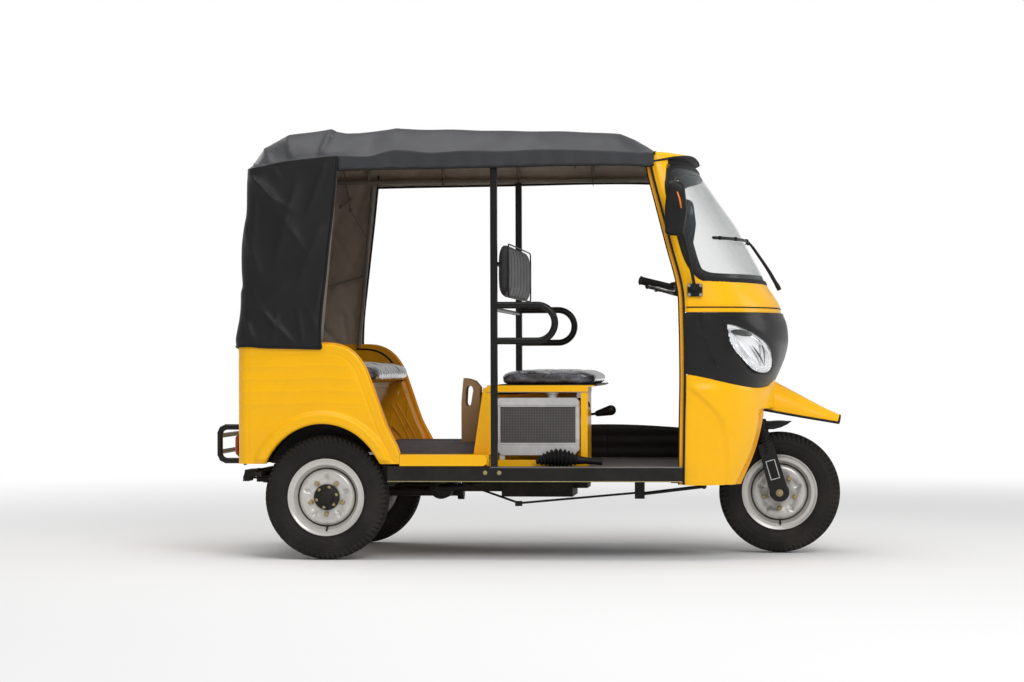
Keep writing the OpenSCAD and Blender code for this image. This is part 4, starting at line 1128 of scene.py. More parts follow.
def make_tub(sizes):
    """Yellow steel body behind the seats: columns run from the right front edge round the two
    rear corners to the left front edge. Each side has a rolled border, a flared lip round its
    wheel arch and faint pressed ribs; the rear has a pressed frame round its plate."""
    x = -552 - (1231 - 552) * np.linspace(0, 1, 176)
    bend = np.linspace(0, 90, 15)[1:-1]
    plan = np.concatenate([
        np.stack([x, np.full_like(x, -620)], 1),
        np.stack([-1231 - 60 * np.sin(np.radians(bend)), -560 - 60 * np.cos(np.radians(bend))], 1),
        np.stack([np.full(57, -1291.0), np.linspace(-560, 560, 57)], 1),
    ])
    plan = np.concatenate([plan, plan[: len(x) + len(bend)][::-1] * (1, -1)])
    px, py = plan[:, 0][:, None], plan[:, 1][:, None]
    low = np.where(abs(py) > 619, arch_low(px), 431.0)
    high = table(px, TUB_EDGE)
    v = np.linspace(0, 1, 85)[None]
    z = low + (high - low) * v
    px, py = px + 0 * z, py + 0 * z
    side = abs(py) > 600
    from_edge = from_path(px, z, TUB_EDGE[::-1])
    # border: a flat raised band with a groove beside it
    lift = -4 * ease(1 - from_edge / 8) * (px > -1180)
    lift += 1.6 * ease(1 - abs(from_edge - 14) / 14) - 2.2 * bump(from_edge - 46, 4.5) * (from_edge < 60)
    # flare round the arch, 36 mm wide and 20 mm proud
    scaled = np.hypot((px - ARCH_X) / ARCH_LONG, (z - ARCH_Z) / ARCH_TALL)
    outward = (scaled - 1) * 300
    lift += side * 21 * ease(1 - (outward - 34) / 26) * ease((z - 425) / 30)
    lift -= side * 7 * ease(1 - outward / 7)
    # ribs, a little wavy
    sway = 3.0 * np.sin(px / 83.0) + 2.0 * np.sin(px / 37.0 + 1.0)
    inside = ease((from_edge - 44) / 30) * ease((outward - 60) / 50)
    for level in (702, 758, 814, 870):
        lift += side * inside * 2.4 * bump(z - level - sway, 9)
    lift += side * inside * 1.6 * np.sin(px / 61.0 + z / 47.0) * np.sin(z / 71.0 - px / 133.0)
    # seam where the side meets the rear
    lift -= 3.0 * bump(px + 1236, 5) * side
    # rear: frame round the plate and two upright swages
    rear = px < -1289
    frame = np.maximum(abs(py) / 330, abs(z - 640) / 120)
    lift += rear * (5.0 * bump(frame - 1, 0.035) - 4.0 * ease((1 - frame) / 0.05))
    lift += rear * 5.0 * bump(abs(py) - 420, 12) * ease((z - 480) / 30) * ease((920 - z) / 30)
    p = field(px, py, z)
    n = normals(p)
    n[..., 2] = 0
    n = unit(n)
    sign = np.sign((n[..., :2] * (p[..., :2] - np.array([-0.9, 0.0]))).sum(-1))
    n *= sign[..., None]
    outer = p + n * lift[..., None] * MM
    inner = p - n * 0.03
    shape = Shape()
    # the inner face takes the darker yellow: painted shade
    shape.slab(outer, inner, back=1)
    shape.build("tub_shell", ["yellow_paint", "yellow_inner"], angle=50,
                replaces=("quarter_panel_right", "quarter_panel_left", "rear_wall"))
    houses = Shape()
    t = np.linspace(26, 154, 60)[:, None]
    for s in SIDES:
        y = np.array([592.0, 560, 500, 466, 464])[None]
        grow = np.array([0.0, 8, 8, 4, -3])[None]
        arc_x = ARCH_X + (ARCH_LONG + grow) * np.cos(np.radians(t)) + 0 * y
        arc_z = ARCH_Z + (ARCH_TALL + grow) * np.sin(np.radians(t)) + 0 * y
        vault = field(arc_x, s * y, arc_z)
        houses.grid(vault, flip=s > 0)
        share = np.linspace(1, 0.02, 14)[None]
        wall_x = ARCH_X + (arc_x[:, -1:] - ARCH_X) * share
        wall_z = 400 + (np.maximum(arc_z[:, -1:], 400) - 400) * share
        wall = field(wall_x, s * 464, wall_z)
        houses.grid(wall, flip=s > 0)
    # the far side made by the thickening takes the darker yellow: painted shade
    piece = houses.build("wheel_houses", ["chassis_black", "yellow_inner"], angle=50)
    thicken(piece, 0.004, back=1, offset=0)
    trim = Shape()
    top = z[:, -1]
    path = field(plan[:, 0], plan[:, 1] * 0.988, top - 1)
    path[:, 0] = np.maximum(path[:, 0], -1.284)
    trim.tube(spread(path, 240), 0.006, 8)
    # the rim takes the darker yellow: painted shade
    trim.build("tub_rim", ["yellow_inner"])
    plugs = Shape()
    for y in PLATE_HOLES:
        plugs.turned(mm([(0.2, 2), (2.6, 2), (3.4, -1.4), (5.2, -1.8), (6.4, -0.4), (6.4, 1)]),
                     mm(-1290, y, 640), "x", 20,
                     flip=True)
    plugs.build("plate_grommets", ["soft_rubber"])


def make_tub_trim(sizes):
    """Box sections inside the side panels' front edges, a dark line beside them, the posts' bolts
    and a pale lip along the sills."""
    box, line = Shape(), Shape()
    for s in SIDES:
        rounded_plate(box, [(-668, 471), (-574, 471), (-594, 538), (-626, 604), (-668, 720)], s * BOX_IN, s * BOX_OUT,
                      round_by=4)
        for a, b in (((-738, 682), (-631, 476)), ((-714, 687), (-597, 476)), ((-738, 682), (-752, 510))):
            box.tube(mm([(a[0], s * BOX_IN, a[1]), (b[0], s * BOX_IN, b[1])]), 0.005, 8)
        inner = [(x - 24, s * 588, z - 20) for x, z in TUB_EDGE[2:]]
        line.tube(curve_through(mm(inner), 90), 0.004, 8)
    # the boxes take the darker yellow: painted shade
    box.build("tub_front_boxes", ["yellow_inner"])
    line.build("tub_inner_line", ["soft_rubber"])
    bolts = Shape()
    for s in SIDES:
        bolts.bolts(mm([(x, s * 618, 392) for x in (-166, -103)]), (0, s, 0), 0.0075, 0.005)
        bolts.tube(mm([(-606, s * 618, 353), (712, s * 618, 353)]), 0.0022, 8)
    bolts.build("floor_bolts", ["zinc"])


# ---------------------------------------------------------------- canopy

CANOPY_TOP = np.array([(-1258, 1766), (-1178, 1865), (-1070, 1920), (-876, 1944), (-852, 1930), (-805, 1921),
                       (-750, 1923),
                       (-690, 1930), (-576, 1943), (-500, 1940), (-149, 1928), (74, 1925), (300, 1915), (436, 1906),
                       (500, 1882), (556, 1850), (592, 1825)], float).T
VALANCE = [(-840, 1750), (-700, 1752), (-205, 1756), (273, 1762), (517, 1758), (570, 1752), (592, 1760)]
CURTAIN_FRONT = [(955, -905), (982, -909), (1080, -906), (1235, -890), (1450, -866), (1600, -848), (1754, -834),
                 (1800, -830)]
CURTAIN_REAR = [(945, -1302), (1000, -1301), (1180, -1293), (1208, -1289), (1236, -1279), (1300, -1276),
                (1759, -1247), (1800, -1245)]

# rear window: its lower and upper edge and its half width
WINDOW_LOW, WINDOW_HIGH, WINDOW_HALF = 1338, 1592, 322


def eave(x):
    """Height of the crease where the roof turns down into its sides: it falls at the rear."""
    return table(x, [(-1252, 1757), (-1178, 1768), (-1080, 1788), (-950, 1802), (-832, 1812), (-700, 1808),
                     (-560, 1836),
                     (-400, 1822), (-240, 1830), (-100, 1826), (120, 1832), (300, 1826), (592, 1812)])


def fold(x, z, a, b, width, depth):
    """A crease from a to b that is sharp in its middle and fades at both ends."""
    gap, along = from_line(x, z, a, b)
    return depth * np.exp(-gap / width) * np.sin(np.pi * np.clip(along * 0.86 + 0.07, 0, 1)) ** 0.7


def canopy_waves(x, y, z):
    """Slack in the cloth, in millimetres: slow sines of different directions, and the creases
    that drop from the hoops' shoulders and run across the rear of the curtains."""
    s = np.sign(y + 1e-9)
    lift = 2.2 * np.sin(x / 97 + z / 61) + 1.6 * np.sin(x / 41 - z / 83 + s) + 1.2 * np.sin(z / 37 + y / 59 + x / 140)
    lift = lift * ease((z - 960) / 60)
    side = abs(y) > 480
    folds = [
        ((-1256, 1764), (-1120, 1622), 9, 11), ((-1180, 1860), (-1098, 1722), 8, 9),
        ((-1070, 1916), (-1030, 1786), 8, 8), ((-876, 1940), (-906, 1812), 8, 9),
        ((-1010, 1700), (-1112, 1330), 34, 14), ((-1250, 1090), (-1205, 966), 8, 10),
        ((-1150, 1098), (-1030, 974), 9, 11), ((-1255, 1520), (-1180, 1270), 26, 9),
        ((-900, 1500), (-1010, 1240), 30, 10), ((-960, 1130), (-912, 1010), 12, 7),
        ((-1230, 1700), (-1020, 1560), 22, 8), ((-1060, 1230), (-1190, 1140), 18, 7),
        ((-1215, 1190), (-1110, 1035), 12, 7), ((-1200, 1740), (-940, 1330), 16, 8),
        ((-880, 1790), (-960, 1560), 10, 9),
        ((-1010, 1120), (-985, 965), 7, 8), ((-1100, 1110), (-1130, 965), 7, 8),
        ((-905, 1250), (-930, 1100), 12, 6),
    ]
    for a, b, width, depth in folds:
        lift = lift + fold(x, z, a, b, width * 1.1, depth * 1.7) * side
    return lift


def make_canopy(sizes):
    """Vinyl hood as one sheet: a roof whose height over the eave grows with the distance from
    its edge as a blend of a quarter circle and a straight line, side valances below it, and a
    curtain that goes round the two rear corners."""
    half, rc = 630.0, 70.0
    front = np.concatenate([[592, 584, 570], np.linspace(552, -810, 120), [-832]])
    back = np.linspace(-832, -1178, 32)[1:]
    turn = np.linspace(0, 90, 15)[1:]
    xs = np.concatenate([front, back, -1178 - rc * np.sin(np.radians(turn))])
    yh = np.concatenate([np.full(len(front) + len(back), half), half - rc + rc * np.cos(np.radians(turn))])
    c = np.linspace(-1, 1, 97)
    c = np.sign(c) * (1 - (1 - abs(c)) ** 1.55)
    x, y = xs[:, None] + 0 * c, yh[:, None] * c
    d = np.clip((yh[:, None] - abs(y)) / 135, 0, 1)
    shoulder = 1 - (1 - d) ** 1.45
    crown = np.interp(x, *CANOPY_TOP)
    # the cloth hangs a little between hoops, most at mid width
    low = eave(x)
    z = low + (crown - low) * shoulder + 4.0 * (1 - (y / half) ** 2) * ease((x + 1200) / 200)
    z += 1.5 * bump(x + 576, 7) * ease(d * 2)
    z += 2.4 * np.sin(x / 53 + y / 91) * np.sin(y / 67 - x / 150) * ease(d * 2)
    # slack in the band over each side
    z += 6.0 * np.sin(np.pi * d) * np.sin(x / 47 + 1.5 * np.sin(x / 113)) * ease((x + 1200) / 200)
    roof = field(x, y, z)
    n = normals(roof)
    n *= np.where(n[..., 2:] < 0, -1, 1)
    roof += n * (canopy_waves(x, y, z) * ease((1 - d) * 4) * ease(d * 8) * (x < -780))[..., None] * MM
    shape = Shape()
    shape.grid(roof, flip=True)

    # curtain: at each height the outline runs from the front edge round the corners
    rear_y = roof[-1, :, 1] / MM
    top = np.concatenate([roof[len(front) - 1:-1, 0], roof[-1], roof[len(front) - 1:, -1][::-1][1:]])
    v = np.linspace(0, 1, 110)[:, None]
    v = v * 0.75 + 0.25 * v**1.6
    total = len(top)
    columns = np.arange(total)
    edge = len(back) + len(turn)
    along = np.minimum(columns, total - 1 - columns)
    low_z = table(along, [(0, 948), (4, 949), (14, 952), (26, 956), (31, 961), (45, 958), (60, 950), (140, 950)])
    top_z = top[:, 2] / MM
    z = top_z[None] + (low_z[None] - top_z[None]) * v
    xr, xf = table(z, CURTAIN_REAR), table(z, CURTAIN_FRONT)
    k = along[None] + 0 * z
    is_side = k <= len(back)
    is_arc = (k > len(back)) & (k < edge)
    share = np.clip(k / len(back), 0, 1)
    phi = np.radians(np.interp(k, [len(back), edge], [0, 90]))
    x = np.where(is_side, xf + (xr + rc - xf) * share, np.where(is_arc, xr + rc - rc * np.sin(phi), xr))
    hand = np.where(columns < total / 2, -1, 1)[None]
    y = np.where(is_side, half, half - rc + rc * np.cos(phi)) * hand
    first, last = edge, edge + len(rear_y) - 1
    y[:, first:last + 1] = rear_y[None]
    x[:, first:last + 1] = xr[:, first:last + 1]
    # the side bellies out a little low down, and steps in above the lower band
    belly = 5 * np.sin(np.pi * np.clip((z - 950) / 800, 0, 1))
    p = field(x, y, z)
    n = normals(p)
    out = np.sign((n[..., 0] * (p[..., 0] + 0.9) + n[..., 1] * p[..., 1]))
    n *= out[..., None]
    fade = ease(v * 14)
    lift = (canopy_waves(x, y, z) - belly) * fade
    rear = is_arc | (k >= edge)
    lift += rear * fade * (5 * np.sin(y / 73 + z / 91) + 3 * np.sin(y / 31 - z / 57))
    lift -= 5 * bump(z - 1222 - 0.05 * (x + 1290), 7) * is_side * ease((-1120 - x) / 60)
    edge_in = bump(z - low_z[None], 10)
    lift -= edge_in * 4
    fit = ease((z - low_z[None]) / 40)
    p += n * (lift * (0.3 + 0.7 * fit))[..., None] * MM
    p[0] = top
    cols = np.arange(total - 1)[None]
    cz = (z[:-1, :-1] + z[1:, 1:]) / 2
    cy = (y[:-1, :-1] + y[1:, 1:]) / 2
    window = (cols >= first) & (cols < last) & (abs(cy) < WINDOW_HALF) & (cz > WINDOW_LOW) & (cz < WINDOW_HIGH)
    shape.grid(p, keep=~window, flip=True, slot=2)
    # valances beside the doors
    for s in SIDES:
        line = roof[: len(front), 0 if s < 0 else -1]
        deep = table(line[:, 0] / MM, VALANCE)
        w = np.linspace(0, 1, 9)[:, None]
        q = np.repeat(line[None], 9, 0)
        q[..., 2] = line[None, :, 2] + (deep[None] * MM - line[None, :, 2]) * w
        q[1:, :, 1] -= s * (0.0015 + 0.002 * np.sin(line[None, :, 0] * 60 + s)) * w[1:]
        shape.grid(q, flip=s < 0)
    piece = shape.build("canopy_hood", ["canopy_vinyl", "canopy_lining", "curtain_vinyl", "canopy_lining"],
                        angle=70, merge=4e-4, replaces=("canopy",))
    thicken(piece, 0.0024, back=1, rim=0, offset=-1)
    # hems: piping along the lower edges, up the curtains' front edges and over the front
    hem = Shape()
    ring = p[-1]
    hem.tube(spread(ring, 220), 0.0048, 8)
    for s in SIDES:
        column = p[:, 0 if s < 0 else -1]
        hem.tube(spread(column + np.array([0.002, 0, 0]), 110), 0.0050, 8)
        line = roof[: len(front), 0 if s < 0 else -1].copy()
        line[:, 2] = table(line[:, 0] / MM, VALANCE) * MM
        line[:, 1] -= s * 0.003
        hem.tube(spread(line, 120), 0.0052, 8)
    hem.tube(spread(roof[0], 120), 0.0052, 8)
    hems = hem.build("canopy_hems", ["canopy_binding"])
    # binding round the window, and the window
    bind = Shape()
    cols_in = [c for c in range(first, last) if abs(rear_y[c - first]) < WINDOW_HALF]
    a, b = cols_in[0], cols_in[-1] + 1
    rows_in = [r for r in range(p.shape[0]) if WINDOW_LOW < z[r, (a + b) // 2] < WINDOW_HIGH]
    r0, r1 = rows_in[0], rows_in[-1]
    loop = np.concatenate([p[r0:r1, a], p[r1, a:b], p[r1:r0:-1, b], p[r0, b:a:-1]])
    loop = spread(rounded_loop(loop, 2), 150, closed=True)
    bind.grid(ribbon(loop + np.array([-0.002, 0, 0]), np.tile([[-1.0, 0, 0.05]], (150, 1)),
                     mm([(-14, -2), (-14, 1.5), (14, 1.5), (14, -2)])), closed_u=True, closed_v=True)
    bind.build("window_binding", ["canopy_binding"], angle=50)
    pane = Shape()
    pane.grid(p[r0 - 1:r1 + 2, a - 1:b + 2] + np.array([0.004, 0, 0]))
    sheet = pane.build("window_film", ["clear_sheet"], angle=60, replaces=("rear_window",))
    thicken(sheet, 0.001, offset=0)


def make_canopy_irons(sizes):
    """Fittings under the hood: jointed stays beside the rear posts and straps round the rails."""
    irons = Shape()
    flat = band(3, 8)
    for s in SIDES:
        y = s * 0.578
        for (ax, az), (bx, bz) in (((-868, 1484), (-960, 1640)), ((-960, 1640), (-992, 1835)),
                                   ((-1010, 1655), (-950, 1700)),
                                   ((-868, 1484), (-886, 1400))):
            irons.sweep(mm([(ax, y * 1e3, az), (ax / 2 + bx / 2, y * 1e3, az / 2 + bz / 2), (bx, y * 1e3, bz)]),
                        flat,
                        up=(0, 1, 0))
            irons.bolts([(ax * MM, y - s * 0.003, az * MM)], (0, -s, 0), 0.007, 0.006)
    irons.build("hood_irons", ["frame_grey"])
    straps = Shape()
    for s in SIDES:
        for x in (-500, -127, 240):
            t = circle(24)
            ring = field(x, s * 590 + 15 * np.cos(t), 1776 + 15 * np.sin(t))
            straps.sweep(ring, band(13, 1), closed=True, up=(1, 0, 0))
    straps.build("hood_straps", ["canopy_binding"], angle=50)


# ---------------------------------------------------------------- seats


def cushion_form(low, high, lean=0.0, crown=0.0, rows=72, around=56, square=5.0, ends=9.0):
    """Closed pillow: a super-ellipse |x|^n + |z|^n = 1 carried from end to end along y, drawn in
    at both ends by (1 - |y|^m)^(1/m); lean shifts x with height."""
    low, high = np.array(low, float), np.array(high, float)
    middle, reach = (low + high) / 2, (high - low) / 2
    t = np.sin(np.linspace(-np.pi / 2, np.pi / 2, rows))
    t = np.sign(t) * abs(t) ** 0.8
    shrink = np.clip(1 - abs(t) ** ends, 0, 1) ** (1 / ends)
    shrink = np.maximum(shrink, 0.02)[:, None]
    a = circle(around)[None]
    c, s = np.cos(a), np.sin(a)
    x = np.sign(c) * abs(c) ** (2 / square) * shrink
    z = np.sign(s) * abs(s) ** (2 / square) * shrink
    y = t[:, None] + 0 * x
    px = middle[0] + reach[0] * x + lean * (z + 1) / 2
    pz = middle[2] + reach[2] * z + crown * np.maximum(z, 0) * (1 - x**2) * (1 - y**2)
    return field(px, middle[1] + reach[1] * y, pz)


def make_pad(name, form, material, cap, shape_after, replaces, voxel=0.010):
    """A padded piece: its closed form is remeshed and blown up with cloth under pressure, each
    point moving at most cap, and then its sewn channels are pressed in."""
    piece = Shape().drawn(form, flip=False).build(name, [material], angle=180, replaces=replaces)
    mesh = piece.data
    work = bmesh.new()
    work.from_mesh(mesh)
    bmesh.ops.recalc_face_normals(work, faces=work.faces)
    work.to_mesh(mesh)
    work.free()
    modify(piece, "REMESH", mode="VOXEL", voxel_size=voxel, use_smooth_shade=True)
    apply_all(piece)
    start = coordinates(piece.data)
    cloth = modify(piece, "CLOTH")
    cloth.settings.use_pressure = True
    cloth.settings.uniform_pressure_force = 4.0
    cloth.settings.effector_weights.gravity = 0.0
    cloth.settings.quality = 4
    for at in range(1, 21):
        bpy.context.scene.frame_set(at)
    bpy.context.view_layer.update()
    solved = piece.evaluated_get(bpy.context.evaluated_depsgraph_get()).to_mesh()
    moved = coordinates(solved) - start
    piece.modifiers.remove(piece.modifiers[-1])
    bpy.context.scene.frame_set(1)
    size = np.linalg.norm(moved, axis=1, keepdims=True)
    moved *= np.minimum(1, cap / np.maximum(size, 1e-9))
    place(piece.data, start + moved)
    place(piece.data, shape_after(coordinates(piece.data)))
    piece.data.polygons.foreach_set("use_smooth", np.ones(len(piece.data.polygons), dtype=bool))
    subdivide(piece, 1)
    return piece


def coordinates(mesh):
    """All points of a mesh."""
    out = np.empty(len(mesh.vertices) * 3, dtype=np.float32)
    mesh.vertices.foreach_get("co", out)
    return out.reshape(-1, 3).astype(float)


def place(mesh, points):
    """Moves all points of a mesh."""
    mesh.vertices.foreach_set("co", points.astype(np.float32).ravel())
    mesh.update()


def apply_all(piece):
    """Makes the modified mesh the piece's own."""
    graph = bpy.context.evaluated_depsgraph_get()
    solid = bpy.data.meshes.new_from_object(piece.evaluated_get(graph))
    solid.materials.clear()
    for material in piece.data.materials:
        solid.materials.append(material)
    piece.modifiers.clear()
    old = piece.data
    piece.data = solid
    name = old.name
    bpy.data.meshes.remove(old)
    solid.name = name


def make_seats(sizes):
    """The two cushions and two backrests, with piping, and the driver seat's board."""

    def bench(p):
        """Two channels across the top, a drawn-in front border, and shallow wrinkles."""
        top = ease((p[:, 2] - 0.84) / 0.02)
        p[:, 2] -= top * 0.006 * (bump(p[:, 1] - 0.19, 0.012) + bump(p[:, 1] + 0.19, 0.012))
        front = ease((p[:, 0] + 0.68) / 0.03)
        p[:, 2] -= front * 0.010 * ease((p[:, 2] - 0.83) / 0.02)
        wrinkle = 0.0025 * np.sin(p[:, 0] * 70 + p[:, 1] * 23) * np.sin(p[:, 1] * 51 - p[:, 0] * 31)
        p[:, 2] += wrinkle
        p[:, 0] += 0.002 * np.sin(p[:, 1] * 83 + p[:, 2] * 40) * front
        return p

    make_pad("bench_cushion", cushion_form((-1180, -552, 797), (-652, 552, 870), crown=10), "wrapped_vinyl", 0.010,
             shape_after=bench, replaces=("passenger_cushion",))

    def bench_back(p):
        """Five upright channels and one level one, pressed into the front face."""
        face = ease((p[:, 0] + (p[:, 2] - 0.88) * 0.135 + 1.15) / 0.02)
        for y in (-0.37, -0.185, 0.0, 0.185, 0.37):
            p[:, 0] -= face * 0.009 * bump(p[:, 1] - y, 0.012)
        p[:, 0] -= face * 0.008 * bump(p[:, 2] - 1.16, 0.012)
        return p

    make_pad("bench_backrest", cushion_form((-1185, -545, 888), (-1126, 545, 1306), lean=-55), "wrapped_vinyl",
             0.012,
             shape_after=bench_back, replaces=("passenger_backrest",))

    def driver(p):
        """Three channels across the top and shallow wrinkles."""
        top = ease((p[:, 2] - 0.815) / 0.015)
        p[:, 2] -= top * 0.004 * sum(bump(p[:, 0] - seam, 0.010) for seam in (0.1, 0.22, -0.01))
        p[:, 2] += 0.0012 * np.sin(p[:, 0] * 61 + p[:, 1] * 37)
        return p

    make_pad("driver_pad", cushion_form((-124, -428, 783), (322, 428, 838), crown=6), "wrapped_vinyl", 0.008,
             shape_after=driver, replaces=("driver_cushion",))

    def driver_back(p):
        """Seven upright channels pressed into both faces."""
        for y in np.linspace(-0.45, 0.45, 7):
            p[:, 0] -= np.sign(p[:, 0] + 0.088) * 0.005 * bump(p[:, 1] - y, 0.010)
        return p

    make_pad("driver_back_pad", cushion_form((-108, -556, 1172), (-68, 556, 1423), square=3.4), "grey_vinyl", 0.007,
             voxel=0.008, shape_after=driver_back, replaces=("driver_backrest",))
    loop = soft_loop(mm([(-66, -556, 1180), (-66, 556, 1180), (-66, 556, 1416), (-66, -556, 1416)]), 160, 4, 160)
    Shape().tube(loop, 0.0035, 8, closed=True).build("seat_piping", ["canopy_binding"])
    board = Shape().bar(mm(-124, -432, 778), mm(322, 432, 785), soften=0.002)
    board.build("driver_seat_board", ["black_plastic"])


# ---------------------------------------------------------------- wheels

TYRE_R = 280.0
FRONT_AXLE, REAR_AXLE, HALF_TRACK = 1142, -888, 552
RAKE = math.radians(16)
TYRE_PROFILE = [(168, 41), (171, 45), (174.5, 46), (177, 45.5), (182, 48), (192, 52.5), (205, 56), (218, 57),
                (226, 56.6),
                (228, 57.4), (232, 57.4), (234, 56.4), (244, 56), (252, 55.4), (259, 54.4), (263, 53.6),
                (267, 52.4),
                (270.5, 51), (273.5, 49), (275.5, 45), (276.8, 39), (277.8, 31), (278.6, 22), (279.3, 11),
                (279.6, 0)]


def make_wheel(name, x, y, face, body, front):
    """Tyre with zigzag ribs and shoulder lugs, pressed rim with pockets, nuts and hub cap. The
    section is turned round the axle, and the tread is cut where a zigzag runs close to a rib's
    edge."""
    half = np.array(TYRE_PROFILE, float)
    fine = []
    for (r1, h1), (r2, h2) in zip(half[:-1], half[1:]):
        steps = 3 if r1 >= 275 else 1
        fine += [(r1 + (r2 - r1) * k / steps, h1 + (h2 - h1) * k / steps) for k in range(steps)]
    fine.append(tuple(half[-1]))
    fine = np.array(fine)
    both = np.concatenate([fine * (1, -1), fine[::-1][1:]])

    def tread(a, r, h):
        """Four zigzag grooves round the crown and slanted cuts through the shoulders."""
        r, h = r + 0 * a, h + 0 * a
        zig = 3.2 * np.abs(((a * 48 / np.pi) % 2) - 1) - 1.6
        cut = np.zeros_like(r)
        for rib in (-27, -9, 9, 27):
            cut = np.maximum(cut, bump(h - rib - zig, 2.3))
        lug = ((a * 72 / (2 * np.pi) + (r - 250) * 0.012) % 1 - 0.5) * 2
        shoulder = ease((r - 240) / 10) * ease((abs(h) - 33) / 5)
        cut = np.maximum(cut * ease((r - 272) / 2), shoulder * ease((r - 262) / 8) * bump(lug, 0.34))
        return r - 7.5 * cut, h - np.sign(h) * 4.5 * shoulder * bump(lug, 0.34)

    tyre = Shape()
    tyre.turned(both, (0, 0, 0), "y", 480, wave=tread)
    inner = np.array([(168, 41), (164, 36), (164, -36), (168, -41)])
    tyre.turned(inner, (0, 0, 0), "y", 120)
    tyre.set_at(mm(x, y, TYRE_R)).build(f"tyre_{name}", ["tyre_rubber"], angle=40,
               body=body, replaces=((f"{name}_tyre",) if front else (f"rear_tyre_{name}",)))

    def pockets(a, r, h):
        """Five raised petals on the disc, and five slits between them."""
        r, h = r + 0 * a, h + 0 * a
        disc = ease((h + 2) / 4) * ease((33 - h) / 3)
        turn = abs(((a / (2 * np.pi) * 5 + 0.25) % 1 - 0.5) * 72)
        petal = bump(turn, 20) * bump(r - 80, 17)
        slit = bump(turn - 36, 4.2) * bump(r - 92, 15)
        return r, h + disc * (5 * petal - 10 * slit)

    section = [(0.4, 17), (30, 17), (50, 17), (56, 17.4), (60, 18)]
    section += [(r, table(r, [(60, 18), (78, 19), (92, 25), (106, 29), (118, 26), (127, 17)])) for r in
                range(63, 128, 3)]
    section += [(128, 12), (129, 10), (131, 10), (132, 15), (137, 24), (142, 32), (144.5, 42), (147, 46.5),
                (153, 47.8), (158, 47.2), (162, 48.4), (166, 50.6), (169.5, 53), (172.5, 53.6), (174, 52.2),
                (173.6, 50),
                (171, 47.5), (165, 44), (150, 41), (149, 30), (149, -30), (150, -41), (165, -44), (171, -47.5),
                (173.6, -50), (174, -52.2), (172, -53.6), (168, -52.6), (160, -48.4), (147, -45), (142.5, -40),
                (142, 0),
                (142, 4), (134, 5), (128, 6), (96, 17), (60, 8), (0.4, 8)]
    section = np.array(section, float)

    def wave(a, r, h):
        """The pockets, on the side that faces out."""
        r, h = pockets(a, r, h)
        return r, face * h

    rim = Shape()
    rim.turned(section[::-1] if face > 0 else section, (0, 0, 0), "y", 240, wave=wave)
    rim.set_at(mm(x, y, TYRE_R)).build(f"rim_{name}", ["silver_rim"], angle=38, body=body,
              replaces=((f"{name}_rim",) if front else (f"rear_rim_{name}",)))
    hub = Shape()
    if front:
        for f in (1, -1):
            barrel = [(46, 10), (46, 26), (44, 30), (34, 33), (30, 40), (27, 46), (20, 48), (20, 60), (16, 62),
                      (0.3, 62)]
            hub.turned(mm(barrel) * (1, f), mm(x, y, TYRE_R), "y", 48, flip=f > 0)
        hub.turned(mm([(46, 10), (40, 0), (40, -10), (46, -10)]), mm(x, y, TYRE_R), "y", 48, flip=True)
    else:
        cap = [(58, 10), (58, 27), (56.5, 30), (52, 31.5), (42, 32), (40, 33.5), (34, 34), (31, 36), (30, 46),
               (28, 49),
               (22, 51), (0.3, 51.5)]
        hub.turned(mm(cap) * (1, face), mm(x, y, TYRE_R), "y", 56, flip=face > 0)
        drum = [(96, -40), (100, -38), (100, -18), (96, -14), (60, -12), (60, 8)]
        hub.turned(mm(drum) * (1, face), mm(x, y, TYRE_R), "y", 56, flip=face > 0)
    # thin dark ring in the groove between the rim and its disc: painted shade, made in the hub's black
    hub.turned(mm([(127.4, 12), (128.6, 17.5), (131, 17.5), (132, 14)]) * (1, face), mm(x, y, TYRE_R), "y", 120,
               flip=face < 0)
    stem = mm([(x + 3, y + face * 12, TYRE_R - 131), (x + 3, y + face * 38, TYRE_R - 138),
               (x + 3, y + face * 51, TYRE_R - 150)])
    hub.tube(stem, 0.0045, 10)
    hub.build(f"hub_{name}", ["axle_black"], angle=35, body=body)
    nuts = Shape()
    a = np.radians(72 * np.arange(5) - 90)
    at = field(x + 76 * np.cos(a), y + face * 19.5, TYRE_R + 76 * np.sin(a))
    nuts.bolts(at, (0, face, 0), 0.0105, 0.017)
    if not front:
        a = np.radians(60 * np.arange(6) + 15)
        at = field(x + 46 * np.cos(a), y + face * 31.5, TYRE_R + 46 * np.sin(a))
        nuts.bolts(at, (0, face, 0), 0.0055, 0.006)
    nuts.build(f"nuts_{name}", ["zinc"], angle=30, body=body)


# ---------------------------------------------------------------- fork


def steered(points):
    """Points of the upright fork, in millimetres from its axle, leaning back by the rake."""
    p = np.asarray(points, float)
    c, s = math.cos(RAKE), math.sin(RAKE)
    return field(FRONT_AXLE + p[..., 0] * c - p[..., 2] * s, p[..., 1], TYRE_R + p[..., 0] * s + p[..., 2] * c)


def rounded_plate(shape, outline, y0, y1, place=mm, slot=0, round_by=2.0):
    """A flat plate between y0 and y1 from a closed outline in x and z, with softened edges."""
    ring = np.array(outline, float)
    middle = ring.mean(0)
    inward = unit(middle - ring) * round_by
    rings = [(ring + inward, y0), (ring, y0 + (round_by if y1 > y0 else -round_by)),
             (ring, y1 - (round_by if y1 > y0 else -round_by)), (ring + inward, y1)]
    p = np.array([place(np.stack([r[:, 0], np.full(len(r), y), r[:, 1]], 1)) for r, y in rings])
    area = (ring[:, 0] * np.roll(ring[:, 1], -1) - np.roll(ring[:, 0], -1) * ring[:, 1]).sum()
    return shape.drawn(p, slot=slot, flip=(area > 0) == (y1 > y0))


